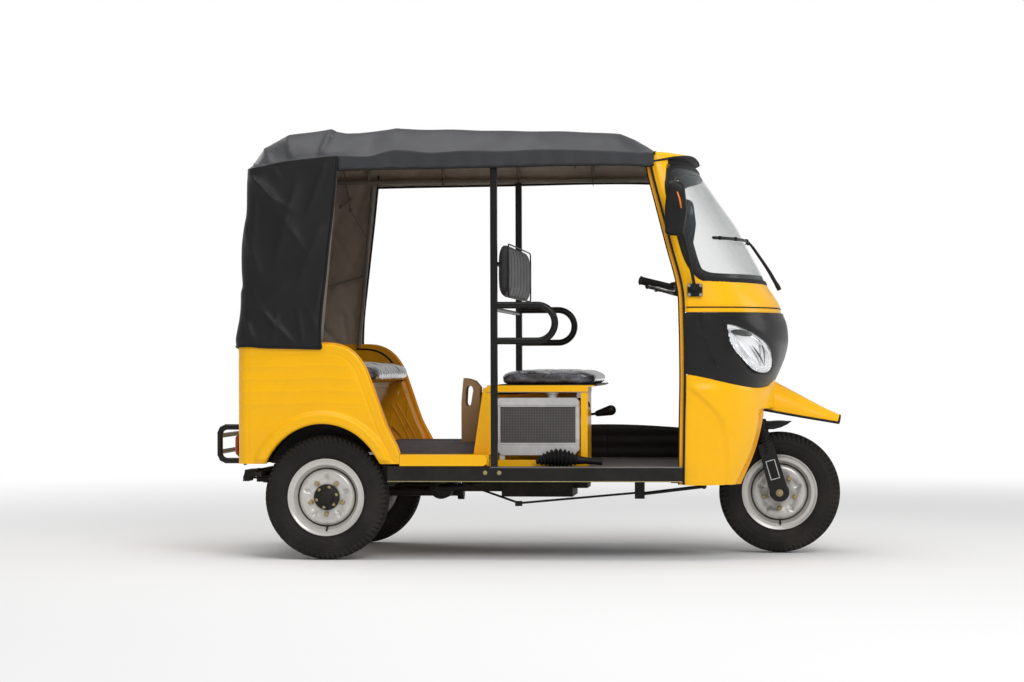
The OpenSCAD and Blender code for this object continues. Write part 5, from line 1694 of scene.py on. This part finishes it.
def make_fork(sizes):
    """Flat plates beside the wheel with a round end, a bare bordered plate on each, the ribbed
    covers above them, a small mudguard, and the axle's nuts."""
    plates, zinc, springs = Shape(), Shape(), Shape()
    t = np.radians(np.linspace(180, 360, 25))
    foot = [(41 * math.cos(a), 41 * math.sin(a)) for a in t]
    outline = foot + [(42, 40), (40, 96), (38, 150), (36, 205), (34, 240), (-34, 240), (-36, 205), (-38, 150),
                      (-40, 96),
                      (-42, 40)]
    for s in SIDES:
        rounded_plate(plates, outline, s * 112, s * 120, steered, round_by=2.2)
        for slot, w, y0, y1 in ((1, 22, 119.5, 120.8), (0, 18.5, 120.5, 121.6)):
            tab = [(-w, 88 - w), (w, 88 - w), (w, 134 + w), (-w, 134 + w)]
            rounded_plate(springs, tab, s * y0, s * y1, steered, slot=slot, round_by=0.6)
        zinc.bolts(steered([(0, s * 119, 0)]), (0, s, 0), 0.0125, 0.012)
        along = np.linspace(196, 330, 120)
        springs.tube(steered(np.stack([0 * along, s * 92 + 0 * along, along], 1)),
                     (29 + 2.4 * np.sin(along / 1.9)) * MM, 24)
        # pinch collars
        for z0, z1, r in ((192, 200, 32), (326, 340, 33)):
            ring = [(r - 4, z0 - 1), (r, z0), (r, z1), (r - 4, z1 + 1)]
            turn = circle(32)
            p = np.array([[(rr * np.cos(q), s * 92 + rr * np.sin(q), zz) for rr, zz in ring] for q in turn])
            springs.grid(steered(p), closed_u=True, flip=False)
    guard = [(1066, 608), (1199, 608), (1180, 594), (1151, 580), (1118, 571), (1088, 570), (1074, 586)]
    rounded_plate(plates, guard, 56, -56, round_by=4)
    plates.build("fork_plates", ["black_tube"], angle=40, body="fork")
    zinc.build("fork_fixings", ["zinc"], angle=30, body="fork")
    springs.build("fork_springs", ["axle_black", "sticker"], angle=40, body="fork")
    bars = Shape()
    for s in SIDES:
        inner, outer = mm(655, s * 262, 1222), mm(520, s * 338, 1254)
        along = np.linspace(-0.02, 1.03, 90)[:, None]
        path = inner + (outer - inner) * along
        ribs = 0.0172 + 0.0012 * (np.sin(along[:, 0] * 2 * np.pi * 21) > 0) + 0.004 * bump(along[:, 0], 0.03)
        ribs = ribs + 0.003 * bump(along[:, 0] - 1.02, 0.02)
        bars.tube(path, ribs, 20)
        lever = curve_through([inner + mm(18, s * 40, -8), inner + mm(8, s * 66, -18), outer + mm(60, s * 20, -30),
                               outer + mm(34, s * 34, -26)], 40)
        bars.tube(lever, np.linspace(0.0062, 0.0046, 40), 10, slot=1)
        bars.tube(lever[-3:] + mm(-2, 0, 0), 0.0075, 12, slot=1)
        block = inner + mm(14, -s * 8, 0)
        form = cushion_form((-30, -24, -24), (30, 24, 24), square=4, ends=4, rows=18, around=28)
        bars.grid(form + block, closed_v=True)
        for k, (dx, dz) in enumerate(((-12, 14), (2, 16), (14, 12))):
            bars.turned(mm([(0.2, 4), (3.4, 4), (4.2, 2.4), (4.2, -2)]), block + mm(dx, 0, dz + 9), "z", 14,
                        slot=1 if k else 2)
    bars.build("handlebar_grips", ["soft_rubber", "steel_zinc", "red_lens"], angle=35, body="fork")
    dial = Shape()
    ring = [(48, -4), (50, 0), (50, 7), (48, 9), (44, 9), (42, 4), (0.3, 4)]
    turn = circle(48)
    p = np.array([[(-17 + r * np.cos(q), r * np.sin(q), 1003 + z) for r, z in ring] for q in turn])
    dial.grid(steered(p), closed_u=True, flip=False)
    for k in range(9):
        q = math.radians(-120 + 30 * k)
        a = np.array([(-17 + 31 * math.cos(q), 31 * math.sin(q), 1008),
                      (-17 + 39 * math.cos(q), 39 * math.sin(q), 1008)])
        dial.tube(steered(a), 0.0009, 6, slot=1)
    dial.tube(steered(np.array([(-17, 0, 1008.5), (-3, 26, 1008.5)])), 0.0009, 6, slot=2)
    dial.build("speed_dial", ["black_plastic", "white_lens", "red_lens"], angle=35, body="fork")


# ---------------------------------------------------------------- seat box and engine


def make_radiator(sizes):
    """Radiator on its side in the bay: tanks with cut corners, a core of fine mesh in a pressed
    frame with fins, a filler neck and cap, hoses to the engine, and feet."""
    body = Shape()
    rounded_plate(body, [(-138, 690), (244, 690), (246, 706), (228, 724), (-122, 724), (-140, 706)], -438, -388,
                  round_by=3)
    rounded_plate(body, [(-138, 512), (-140, 490), (-112, 464), (218, 464), (246, 490), (244, 512)], -438, -388,
                  round_by=3)
    for x0, x1 in ((-140, -116), (224, 246)):
        body.bar(mm(x0, -436, 510), mm(x1, -394, 692), soften=0.003)
    for z in (516, 686):
        body.bar(mm(-118, -437, z - 4), mm(226, -394, z + 4), soften=0.002)
    Shape().bar(mm(-118, -431, 512), mm(226, -398, 690)).build("radiator_mesh", ["radiator_core"])
    neck = [(20, 0), (20, 8), (23, 10), (23, 13), (17, 14), (17, 17), (26, 18), (27, 21), (26, 28), (22, 30),
            (0.3, 31)]
    body.turned(mm(neck), mm(120, -414, 722), "z", 32)
    for x in (-120, 200):
        body.bar(mm(x, -434, 443), mm(x + 24, -396, 466), soften=0.002)
    body.bolts(mm([(-129, -437, 536), (-129, -437, 654), (235, -437, 536), (235, -437, 654)]), (0, -1, 0),
               0.006, 0.005)
    body.build("radiator_frame", ["radiator_aluminium"], angle=40, replaces=("radiator",))
    hoses = Shape()
    for points, r in (
        ([(236, -414, 708), (262, -405, 704), (270, -350, 690), (240, -260, 660), (192, -170, 630)], 0.016),
        ([(-130, -414, 480), (-156, -400, 470), (-160, -330, 470), (-140, -240, 490), (-130, -150, 500)], 0.016),
        ([(120, -400, 748), (90, -370, 756), (10, -330, 748), (-90, -280, 742), (-240, -150, 740)], 0.005),
    ):
        hoses.tube(curve_through(mm(points), 60), r, 16)
    for at in (mm(262, -405, 704), mm(-156, -400, 470)):
        hoses.tube(np.array([at + mm(-6, 0, 0), at + mm(6, 3, 0)]), 0.018, 16, slot=1)
    # pleated rubber gaiter lying on the floor in front of the radiator
    x = np.linspace(50, 350, 300)
    r = table(x, [(50, 10), (90, 26), (150, 36), (200, 32), (240, 20), (350, 13)])
    r = r * (1 + 0.17 * np.sin(np.linspace(0, 2 * np.pi * 17, 300)) * ease((250 - x) / 20))
    lift = table(x, [(50, 20), (150, 37), (230, 28), (300, 22), (350, 16)])
    hoses.tube(field(x, -496 + 8 * np.sin(x / 50), 418 + lift), r * MM, 20)
    hoses.build("hoses", ["soft_rubber", "steel_zinc"], angle=50)


def make_engine(sizes):
    """Casting detail over the plain block: cooling fins, a belt cover, ribs on the gearbox, an
    air filter drum and an exhaust can under the floor."""
    cast = Shape()
    for z in np.linspace(452, 612, 15):
        cast.bar(mm(-138, -166, z - 2), mm(60, 172, z + 2), soften=0.001)
    for y in np.linspace(-100, 100, 9):
        cast.bar(mm(-328, y - 2.5, 284), mm(-142, y + 2.5, 418), soften=0.001)
    cover = [(78, -14), (78, 4), (72, 10), (30, 12), (26, 20), (12, 22), (0.3, 22)]
    cast.turned(mm(cover) * (1, -1), mm(90, -150, 380), "y", 40, flip=False)
    turn = np.arange(6) * 1.047
    cast.bolts(field(90 + 66 * np.cos(turn), -160, 380 + 66 * np.sin(turn)), (0, -1, 0), 0.006, 0.006)
    cast.build("engine_detail", ["engine_casting"], angle=40)
    drum = Shape()
    drum.turned(mm([(0.3, -112), (48, -112), (54, -106), (54, -40), (52, -38), (52, 38), (54, 40), (54, 106),
                    (48, 112), (0.3, 112)])[::-1],
                mm(-40, 60, 690), "y", 40, flip=False)
    can = [(0.3, -190), (44, -190), (52, -184), (54, -176), (54, 176), (52, 184), (44, 190), (0.3, 190)]
    drum.turned(mm(can)[::-1], mm(-420, 0, 306), "y", 40, flip=False)
    for points, radius in (
        ([(-420, 186, 306), (-420, 230, 300), (-460, 262, 296), (-620, 268, 300), (-700, 268, 290)], 0.016),
        ([(-420, -186, 306), (-380, -210, 306), (-250, -190, 320), (-120, -120, 340)], 0.014),
    ):
        drum.tube(curve_through(mm(points), 40), radius, 14)
    drum.build("exhaust_and_filter", ["axle_black"], angle=40)


def make_tank_detail(sizes):
    """Seam round the middle of the brown tank."""
    seam = [(-323, 520), (-323, 700), (-313, 813), (-261, 802), (-234, 771), (-238, 520)]
    path = mm([(x, -135, z) for x, z in seam])
    Shape().tube(rounded(path, 0.02, 6), 0.0022, 8).build("tank_detail", ["brown_plastic"], angle=40)


def make_floor_trim(sizes):
    """Ribbed rubber mats on both floors, with pale lines along the driver mat's edges as painted highlights, the
    arched kick panel with its seam and ribs, and trim and screws on the seat box and the beige panel."""
    mat = Shape()
    x = np.linspace(-140, 700, 211)[:, None]
    y = np.linspace(-572, 572, 90)[None]
    rib = 0.9 * np.sign(np.sin(y / 3.1))
    z = 414.2 + rib + 0 * x
    edge = np.minimum(np.minimum(x + 140, 700 - x), 572 - abs(y))
    z = np.where(edge < 14, 415.4, z)
    p = field(x, y, z)
    keep = ~((p[:-1, :-1, 0] < 0.206) & (p[:-1, :-1, 0] > -0.15) & (abs(p[:-1, :-1, 1] - 0.01) < 0.172))
    mat.grid(p, keep=keep)
    # pale lines along the mat's long edges: painted highlights
    for s in SIDES:
        for off in (4, 26):
            line = mm([(-140, s * (612 - off), 416.8), (710, s * (612 - off), 416.8)])
            mat.sweep(line, mm([(-2.2, -1), (-2.2, 0.8), (2.2, 0.8), (2.2, -1)]), slot=1)
    mat.build("driver_mat", ["floor_mat", "mat_edge"], angle=30)
    x = np.linspace(-668, -176, 124)[:, None]
    y = np.linspace(-440, 440, 90)[None]
    z = np.interp(abs(y), [262, 320], [517.4, 471.4]) + 1.0 * np.sign(np.sin(y / 3.4)) + 0 * x
    Shape().grid(field(x, y, z)).build("passenger_mat", ["floor_mat"], angle=30)
    kick = Shape()
    u = np.linspace(0, 1, 150)[:, None]
    v = np.linspace(0, 1, 30)[None]
    x = -108 + 822 * u
    top = 560 + 20 * np.sin(np.pi * u)
    z = 418 + (top - 418) * v
    y = 581 + 3.0 * np.sin(z / 9.0) * 0.4 + 2 * ease((z - top + 14) / 8) + 2.5 * bump(x - 300, 4)
    p = field(x, y, z)
    back = p + mm(0, 6, 0)
    kick.slab(p, back)
    kick.bolts(mm([(-90, 580, 545), (110, 580, 560), (290, 580, 570), (480, 580, 570), (695, 580, 545)]),
               (0, -1, 0), 0.005, 0.004, sides=16)
    kick.build("kick_board", ["black_plastic"], angle=50, replaces=("kick_panel",))
    trim = Shape()
    trim.bar(mm(-700, -586, 470), mm(-664, -500, 484), soften=0.002)
    for y in (-0.5, -0.2, 0.2, 0.5):
        trim.bolts([(-0.6905, y, 0.50), (-0.6735, y, 0.74)], (1, 0, -0.07), 0.006, 0.003, sides=16)
    trim.bar(mm(-176, -453, 748), mm(283, -449, 751), soften=0.001)
    trim.build("seat_box_screws", ["steel_zinc"], angle=30)
    flaps = Shape()
    for s in SIDES:
        flaps.bar(*np.sort(mm([(-640, s * 300, 330), (-600, s * 560, 428)]), axis=0), soften=0.002)
    flaps.build("splash_plates", ["chassis_black"])
    panel = Shape()
    u = np.linspace(-1, 1, 120)[:, None]
    v = np.linspace(0, 1, 60)[None]
    z = 474 + 310 * v + 0 * u
    y = 450 * u + 0 * z
    lip = np.maximum(abs(y) / 430, abs(z - 632) / 136)
    x = -745 - 0.43 * (790 - z) + 3.0 * bump(lip - 1, 0.02) - 2.0 * ease((1 - lip) / 0.02)
    p = field(x, y, z)
    panel.slab(p, p - mm(4, 0, 0))
    panel.bar(mm(-1268, -450, 783), mm(-738, 450, 792), soften=0.002)
    panel.bar(mm(-1268, -450, 471), mm(-1260, 450, 783), soften=0.001)
    for s in SIDES:
        side = [(-668, 478), (-668, 720), (-690, 786), (-690, 792), (-800, 792), (-800, 598), (-740, 570),
                (-700, 532)]
        # the side boxes take the darker yellow in slot 1: painted shade
        panel.bar(*np.sort(mm([(-1268, s * BOX_IN, 616), (-801, s * BOX_OUT, 792)]), axis=0), soften=0.002, slot=1)
        rounded_plate(panel, side, s * BOX_IN, s * BOX_OUT, slot=1)
    panel.build("bench_box", ["beige_panel", "yellow_inner"], angle=50, replaces=("passenger_seat_base",))


# ---------------------------------------------------------------- cab fittings


def make_mirrors(sizes):
    """Tall rounded mirror housings with an amber strip, the glass on the inner face, a bent
    stalk and a square bracket with four bolts."""
    for s, name in HANDS:
        shell = Shape()
        outline = soft_loop([(642, 1446), (722, 1437), (741, 1560), (727, 1670), (700, 1684), (656, 1684),
                             (641, 1560)], 90, 4, 72)
        middle = outline.mean(0)
        rings = []
        for share, y in ((0.02, 665), (0.9, 665), (0.93, 662), (1.0, 664), (1.0, 684), (0.985, 693),
                         (0.95, 699), (0.86, 704), (0.7, 706), (0.4, 706), (0.02, 706)):
            q = middle + (outline - middle) * share
            rings.append(field(q[:, 0], s * y, q[:, 1]))
        shell.grid(np.array(rings), closed_v=True, flip=s > 0)
        shell.build(f"mirror_housing_{name}", ["black_plastic"], angle=40, replaces=("mirrors",))
        glass_piece = Shape()
        q = middle + (outline - middle) * 0.86
        ring = field(q[:, 0], s * 663.6, q[:, 1])
        glass_piece.fan(ring, flip=s < 0)
        glass_piece.build(f"mirror_glass_{name}", ["mirror_glass"])
        amber = Shape()
        strip = mm([(697, s * 705, 1634), (708, s * 705, 1600), (715, s * 704, 1560)])
        amber.tube(curve_through(strip, 24), np.sin(np.linspace(0.4, 2.7, 24)) * 0.003 + 0.0015, 10)
        amber.build(f"mirror_amber_{name}", ["amber_lens"])
        arm = Shape()
        path = curve_through(mm([(712, s * 674, 1462), (728, s * 670, 1420), (748, s * 650, 1330),
                                 (764, s * 618, 1250), (768, s * 604, 1220)]), 40)
        arm.tube(path, 0.0075, 14)
        arm.tube(path[:5] + mm(0, 0, -2), 0.012, 14)
        arm.bar(mm(737, min(s * 590.4, s * 602), 1174), mm(804, max(s * 590.4, s * 602), 1231), soften=0.004)
        arm.turned(mm([(0.3, 24), (14, 24), (17, 21), (17, 0)]) * (1, s), mm(769, s * 598, 1214), "y", 24,
                   flip=s > 0)
        arm.build(f"mirror_arm_{name}", ["black_plastic"], angle=40)
        pins = Shape()
        pins.bolts(mm([(x, s * 602, z) for x in (745, 796) for z in (1182, 1223)]), (0, s, 0), 0.0055, 0.005,
                   sides=16)
        pins.build(f"mirror_bolts_{name}", ["steel_zinc"], angle=30)


def make_wiper(sizes):
    """Wiper: a capped pivot, a tapering arm, and a blade that follows the glass."""
    arm = Shape()
    tip = (cab(0.0, 1438.0, -17) + cab(-13.0, 1438.0, -17)) / 2
    path = curve_through([mm(1126, 0, 1250), mm(1098, -8, 1300), mm(1048, -26, 1376), tip + mm(14, 4, -14),
                          tip], 50)
    arm.sweep(path, mm([(-9, -6), (-9, 4), (-4, 8), (4, 8), (9, 4), (9, -6)]), up=(1, 0, 0.4),
              scale=np.linspace(1.3, 0.7, 50))
    cap = mm([(1146, 0, 1216), (1136, 0, 1236), (1126, 0, 1254)])
    arm.tube(cap, np.array([0.010, 0.011, 0.008]), 20)
    a = np.linspace(13, -60, 90)
    blade = cab(a, np.full_like(a, 1438.0), -17)
    up = surface_up(blade)
    arm.grid(ribbon(blade, up, mm([(-7, -3), (-7, 1), (-4, 4), (4, 4), (7, 1), (7, -3)]), closed=False),
             closed_v=True)
    rubber = cab(a, np.full_like(a, 1438.0), -10)
    arm.grid(ribbon(rubber, up, mm([(-2.5, -3), (-3, 4), (3, 4), (2.5, -3)]), closed=False), closed_v=True, slot=1)
    for k in (8, 30, 58, 80):
        arm.tube(blade[k:k + 3], 0.0095, 10)
    arm.build("wiper_set", ["black_plastic", "soft_rubber"], angle=40, replaces=("wiper",))


def make_tail(sizes):
    """Tail lamps with red, amber and clear fields in a black case."""
    for s, name in HANDS:
        lamp = Shape()
        y0, y1 = (s * 440, s * 560) if s > 0 else (s * 560, s * 440)
        lamp.bar(mm(-1298, y0, 462), mm(-1291.4, y1, 562), soften=0.002)
        lamp.build(f"tail_case_{name}", ["black_plastic"], angle=40, replaces=("tail_lights",))
        fields = Shape()
        u, v = np.meshgrid(np.linspace(-1, 1, 26), np.linspace(-1, 1, 26), indexing="ij")
        for k, (low, high) in enumerate(((-53, -18), (-16, 16), (18, 53))):
            bulge = np.clip(1 - abs(u) ** 6, 0, 1) ** (1 / 3) * np.clip(1 - abs(v) ** 6, 0, 1) ** (1 / 3)
            yy = s * 500 + (low + high) / 2 + (high - low) / 2 * u
            zz = 512 + 45 * v
            xx = -1298 - 14 * bulge
            fields.grid(field(xx, yy, zz), slot=k, flip=True)
        fields.build(f"tail_lens_{name}", ["red_lens", "amber_lens", "white_lens"], angle=40)


# ---------------------------------------------------------------- stage


def make_stage(sizes):
    """Floor, backdrop, soft lamps and the camera."""
    plane = bpy.data.meshes.new("floor")
    plane.from_pydata([(-60, -60, -0.001), (60, -60, -0.001), (60, 60, -0.001), (-60, 60, -0.001)], [],
                      [(0, 1, 2, 3)])
    floor = bpy.data.objects.new("floor", plane)
    bpy.context.scene.collection.objects.link(floor)
    material = bpy.data.materials.new("studio floor")
    material.use_nodes = True
    tree = material.node_tree
    tree.nodes.clear()
    w = Wires(tree)
    end = w.node("OutputMaterial")
    matt = w.node("BsdfDiffuse", {"Color": (0.80, 0.80, 0.80, 1.0)})
    glow = w.node("Emission", {"Color": (1, 1, 1, 1), "Strength": 1.0})
    place = w.node("TexCoord").outputs["Object"]
    far = w.between(w.node("VectorMath", {0: place}, operation="LENGTH").outputs["Value"], 3.2, 9.0)
    light = w.node("LightPath").outputs
    rays = w.math("MAXIMUM", light["Is Glossy Ray"], light["Is Transmission Ray"])
    seen = w.math("MAXIMUM", light["Is Camera Ray"], rays)
    mix = w.node("MixShader", {0: w.times(far, seen)})
    tree.links.new(matt.outputs[0], mix.inputs[1])
    tree.links.new(glow.outputs[0], mix.inputs[2])
    tree.links.new(mix.outputs[0], end.inputs[0])
    plane.materials.append(material)
    world = bpy.data.worlds.new("studio")
    bpy.context.scene.world = world
    world.use_nodes = True
    tree = world.node_tree
    tree.nodes.clear()
    w = Wires(tree)
    end = w.node("OutputWorld")
    light = w.node("LightPath").outputs
    seen = w.math("MAXIMUM", light["Is Camera Ray"], light["Is Transmission Ray"])
    strength = w.math("MULTIPLY_ADD", seen, 1.0 - sizes.fill, sizes.fill)
    sky = w.node("Background", {"Color": (1, 1, 1, 1), "Strength": strength})
    tree.links.new(sky.outputs[0], end.inputs[0])
    for name, at, aim, size, power in (
        ("key", (3.5, -7.0, 6.0), (0, 0, 0.9), 5.0, sizes.key),
        ("overhead", (-1.0, -1.0, 6.5), (0, 0, 0.8), 5.0, sizes.key * 0.55),
        ("rear", (-6.0, 5.5, 4.5), (0, 0, 0.9), 4.0, sizes.key * 0.35),
        ("front", (8.0, 0.5, 3.0), (0, 0, 0.9), 4.0, sizes.key * 0.3),
    ):
        lamp = bpy.data.lights.new(name, "AREA")
        lamp.shape, lamp.size, lamp.energy = "DISK", size, power
        piece = bpy.data.objects.new(name, lamp)
        look = unit(np.array(aim, float) - np.array(at, float))
        piece.matrix_world = facing(at, look, 0.0)
        bpy.context.scene.collection.objects.link(piece)
    eye = bpy.data.cameras.new("camera")
    eye.lens, eye.sensor_width = 93.36, 36.0
    eye.clip_end = 200
    camera = bpy.data.objects.new("camera", eye)
    a, p = 0.0976, 0.0079
    look = np.array([-math.sin(a) * math.cos(p), math.cos(a) * math.cos(p), math.sin(p)])
    camera.matrix_world = facing((1.110, -12.4007, 0.886), look, -0.0031)
    bpy.context.scene.collection.objects.link(camera)
    bpy.context.scene.camera = camera
    bpy.context.scene.view_settings.view_transform = "Standard"


def facing(at, look, roll):
    """Matrix of a camera or lamp at a place, looking along a direction, turned by roll about it."""
    right = unit(np.cross(look, (0, 0, 1.0)))
    up = np.cross(right, look)
    c, s = math.cos(roll), math.sin(roll)
    right, up = c * right + s * up, -s * right + c * up
    rows = np.eye(4)
    rows[:3, 0], rows[:3, 1], rows[:3, 2], rows[:3, 3] = right, up, -look, at
    return Matrix(rows.tolist())


# ---------------------------------------------------------------- add-on


class RickshawSettings(bpy.types.PropertyGroup):
    """Sizes and colours that a user may change before building."""

    wall: bpy.props.FloatProperty(
        name="Panel wall", description="Thickness that the cab's panels are made from", default=0.012, min=0.004,
        max=0.02, unit="LENGTH",
    )
    paint: bpy.props.FloatVectorProperty(
        name="Paint", description="Colour of the painted body", default=YELLOW[:3], size=3, min=0, max=1,
        subtype="COLOR"
    )
    hood: bpy.props.FloatVectorProperty(
        name="Hood", description="Colour of the vinyl hood", default=rgb(46, 47, 51)[:3], size=3, min=0, max=1,
        subtype="COLOR",
    )
    seats: bpy.props.FloatVectorProperty(
        name="Seats", description="Colour of the seat vinyl", default=rgb(50, 48, 50)[:3], size=3, min=0, max=1,
        subtype="COLOR",
    )
    fill: bpy.props.FloatProperty(
        name="Fill light", description="Strength of the light from all round", default=0.5, min=0, max=2
    )
    key: bpy.props.FloatProperty(
        name="Key light", description="Power of the main lamp", default=330.0, min=0, max=4000, unit="POWER"
    )


class RICKSHAW_OT_finishes(bpy.types.Operator):
    """Gives the frame's own pieces their paint, rubber, steel and plastic."""

    bl_idname = "rickshaw.finishes"
    bl_label = "Frame finishes"
    bl_options = {"REGISTER", "UNDO"}

    def execute(self, context):
        dress_frame()
        return {"FINISHED"}


class RICKSHAW_OT_cab(bpy.types.Operator):
    """Builds the lower cheeks, the nose band, the cab shell and their trim."""

    bl_idname = "rickshaw.cab"
    bl_label = "Cab"
    bl_options = {"REGISTER", "UNDO"}

    def execute(self, context):
        sizes = context.scene.rickshaw
        make_cheeks(sizes)
        make_mask(sizes)
        make_cab_shell(sizes)
        make_cab_trim(sizes)
        return {"FINISHED"}


class RICKSHAW_OT_windscreen(bpy.types.Operator):
    """Builds the windscreen, its rubber and band, and the wiper."""

    bl_idname = "rickshaw.windscreen"
    bl_label = "Windscreen and wiper"
    bl_options = {"REGISTER", "UNDO"}

    def execute(self, context):
        make_windscreen(context.scene.rickshaw)
        make_wiper(context.scene.rickshaw)
        return {"FINISHED"}


class RICKSHAW_OT_lamps(bpy.types.Operator):
    """Builds the headlights, the tail lamps and the front mudguard's beak."""

    bl_idname = "rickshaw.lamps"
    bl_label = "Lamps and beak"
    bl_options = {"REGISTER", "UNDO"}

    def execute(self, context):
        make_lamps(context.scene.rickshaw)
        make_tail(context.scene.rickshaw)
        make_beak(context.scene.rickshaw)
        return {"FINISHED"}


class RICKSHAW_OT_mirrors(bpy.types.Operator):
    """Builds the two mirrors with their stalks and brackets."""

    bl_idname = "rickshaw.mirrors"
    bl_label = "Mirrors"
    bl_options = {"REGISTER", "UNDO"}

    def execute(self, context):
        make_mirrors(context.scene.rickshaw)
        return {"FINISHED"}


class RICKSHAW_OT_tub(bpy.types.Operator):
    """Builds the yellow rear body with its wheel houses, rim, beading and bolts."""

    bl_idname = "rickshaw.tub"
    bl_label = "Rear body"
    bl_options = {"REGISTER", "UNDO"}

    def execute(self, context):
        make_tub(context.scene.rickshaw)
        make_tub_trim(context.scene.rickshaw)
        return {"FINISHED"}


class RICKSHAW_OT_hood(bpy.types.Operator):
    """Builds the vinyl hood, its hems, seams, window and irons."""

    bl_idname = "rickshaw.hood"
    bl_label = "Hood"
    bl_options = {"REGISTER", "UNDO"}

    def execute(self, context):
        make_canopy(context.scene.rickshaw)
        make_canopy_irons(context.scene.rickshaw)
        return {"FINISHED"}


class RICKSHAW_OT_seats(bpy.types.Operator):
    """Builds the padded cushions and backrests with their piping."""

    bl_idname = "rickshaw.seats"
    bl_label = "Seats"
    bl_options = {"REGISTER", "UNDO"}

    def execute(self, context):
        make_seats(context.scene.rickshaw)
        return {"FINISHED"}


class RICKSHAW_OT_machinery(bpy.types.Operator):
    """Builds the radiator, the engine's casting detail, the exhaust and the brown tank's fittings."""

    bl_idname = "rickshaw.machinery"
    bl_label = "Radiator and engine"
    bl_options = {"REGISTER", "UNDO"}

    def execute(self, context):
        make_radiator(context.scene.rickshaw)
        make_engine(context.scene.rickshaw)
        make_tank_detail(context.scene.rickshaw)
        return {"FINISHED"}


class RICKSHAW_OT_floors(bpy.types.Operator):
    """Builds the rubber mats, the kick board, and the trim of the boxes under the seats."""

    bl_idname = "rickshaw.floors"
    bl_label = "Floors"
    bl_options = {"REGISTER", "UNDO"}

    def execute(self, context):
        make_floor_trim(context.scene.rickshaw)
        return {"FINISHED"}


class RICKSHAW_OT_wheels(bpy.types.Operator):
    """Builds the three wheels: tyre, pressed rim, hub and nuts."""

    bl_idname = "rickshaw.wheels"
    bl_label = "Wheels"
    bl_options = {"REGISTER", "UNDO"}

    def execute(self, context):
        make_wheel("front", FRONT_AXLE, 0, -1, "front_wheel", True)
        make_wheel("right", REAR_AXLE, -HALF_TRACK, -1, "rear_wheel_right", False)
        make_wheel("left", REAR_AXLE, HALF_TRACK, 1, "rear_wheel_left", False)
        return {"FINISHED"}


class RICKSHAW_OT_fork(bpy.types.Operator):
    """Builds the fork's plates, springs and fixings, and the handlebar's grips and dial."""

    bl_idname = "rickshaw.fork"
    bl_label = "Fork and handlebar"
    bl_options = {"REGISTER", "UNDO"}

    def execute(self, context):
        make_fork(context.scene.rickshaw)
        return {"FINISHED"}


class RICKSHAW_OT_stage(bpy.types.Operator):
    """Builds the floor, the soft lamps and the camera."""

    bl_idname = "rickshaw.stage"
    bl_label = "Stage"
    bl_options = {"REGISTER", "UNDO"}

    def execute(self, context):
        make_stage(context.scene.rickshaw)
        return {"FINISHED"}


OPERATORS = (
    RICKSHAW_OT_stage, RICKSHAW_OT_finishes, RICKSHAW_OT_cab, RICKSHAW_OT_windscreen, RICKSHAW_OT_lamps,
    RICKSHAW_OT_mirrors, RICKSHAW_OT_tub, RICKSHAW_OT_hood, RICKSHAW_OT_seats, RICKSHAW_OT_machinery,
    RICKSHAW_OT_floors, RICKSHAW_OT_wheels, RICKSHAW_OT_fork,
)


class RICKSHAW_PT_panel(bpy.types.Panel):
    """Lists the settings and the operators in the sidebar."""

    bl_label = "Auto rickshaw"
    bl_idname = "RICKSHAW_PT_panel"
    bl_space_type = "VIEW_3D"
    bl_region_type = "UI"
    bl_category = "Rickshaw"

    def draw(self, context):
        for prop in ("wall", "paint", "hood", "seats", "fill", "key"):
            self.layout.prop(context.scene.rickshaw, prop)
        for kind in OPERATORS:
            self.layout.operator(kind.bl_idname)


def register():
    for kind in (RickshawSettings, *OPERATORS, RICKSHAW_PT_panel):
        bpy.utils.register_class(kind)
    bpy.types.Scene.rickshaw = bpy.props.PointerProperty(type=RickshawSettings)


def unregister():
    del bpy.types.Scene.rickshaw
    for kind in (RICKSHAW_PT_panel, *reversed(OPERATORS), RickshawSettings):
        bpy.utils.unregister_class(kind)


def main():
    """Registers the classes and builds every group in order."""
    register()
    for kind in OPERATORS:
        group, action = kind.bl_idname.split(".")
        getattr(getattr(bpy.ops, group), action)()


if __name__ == "__main__":
    main()
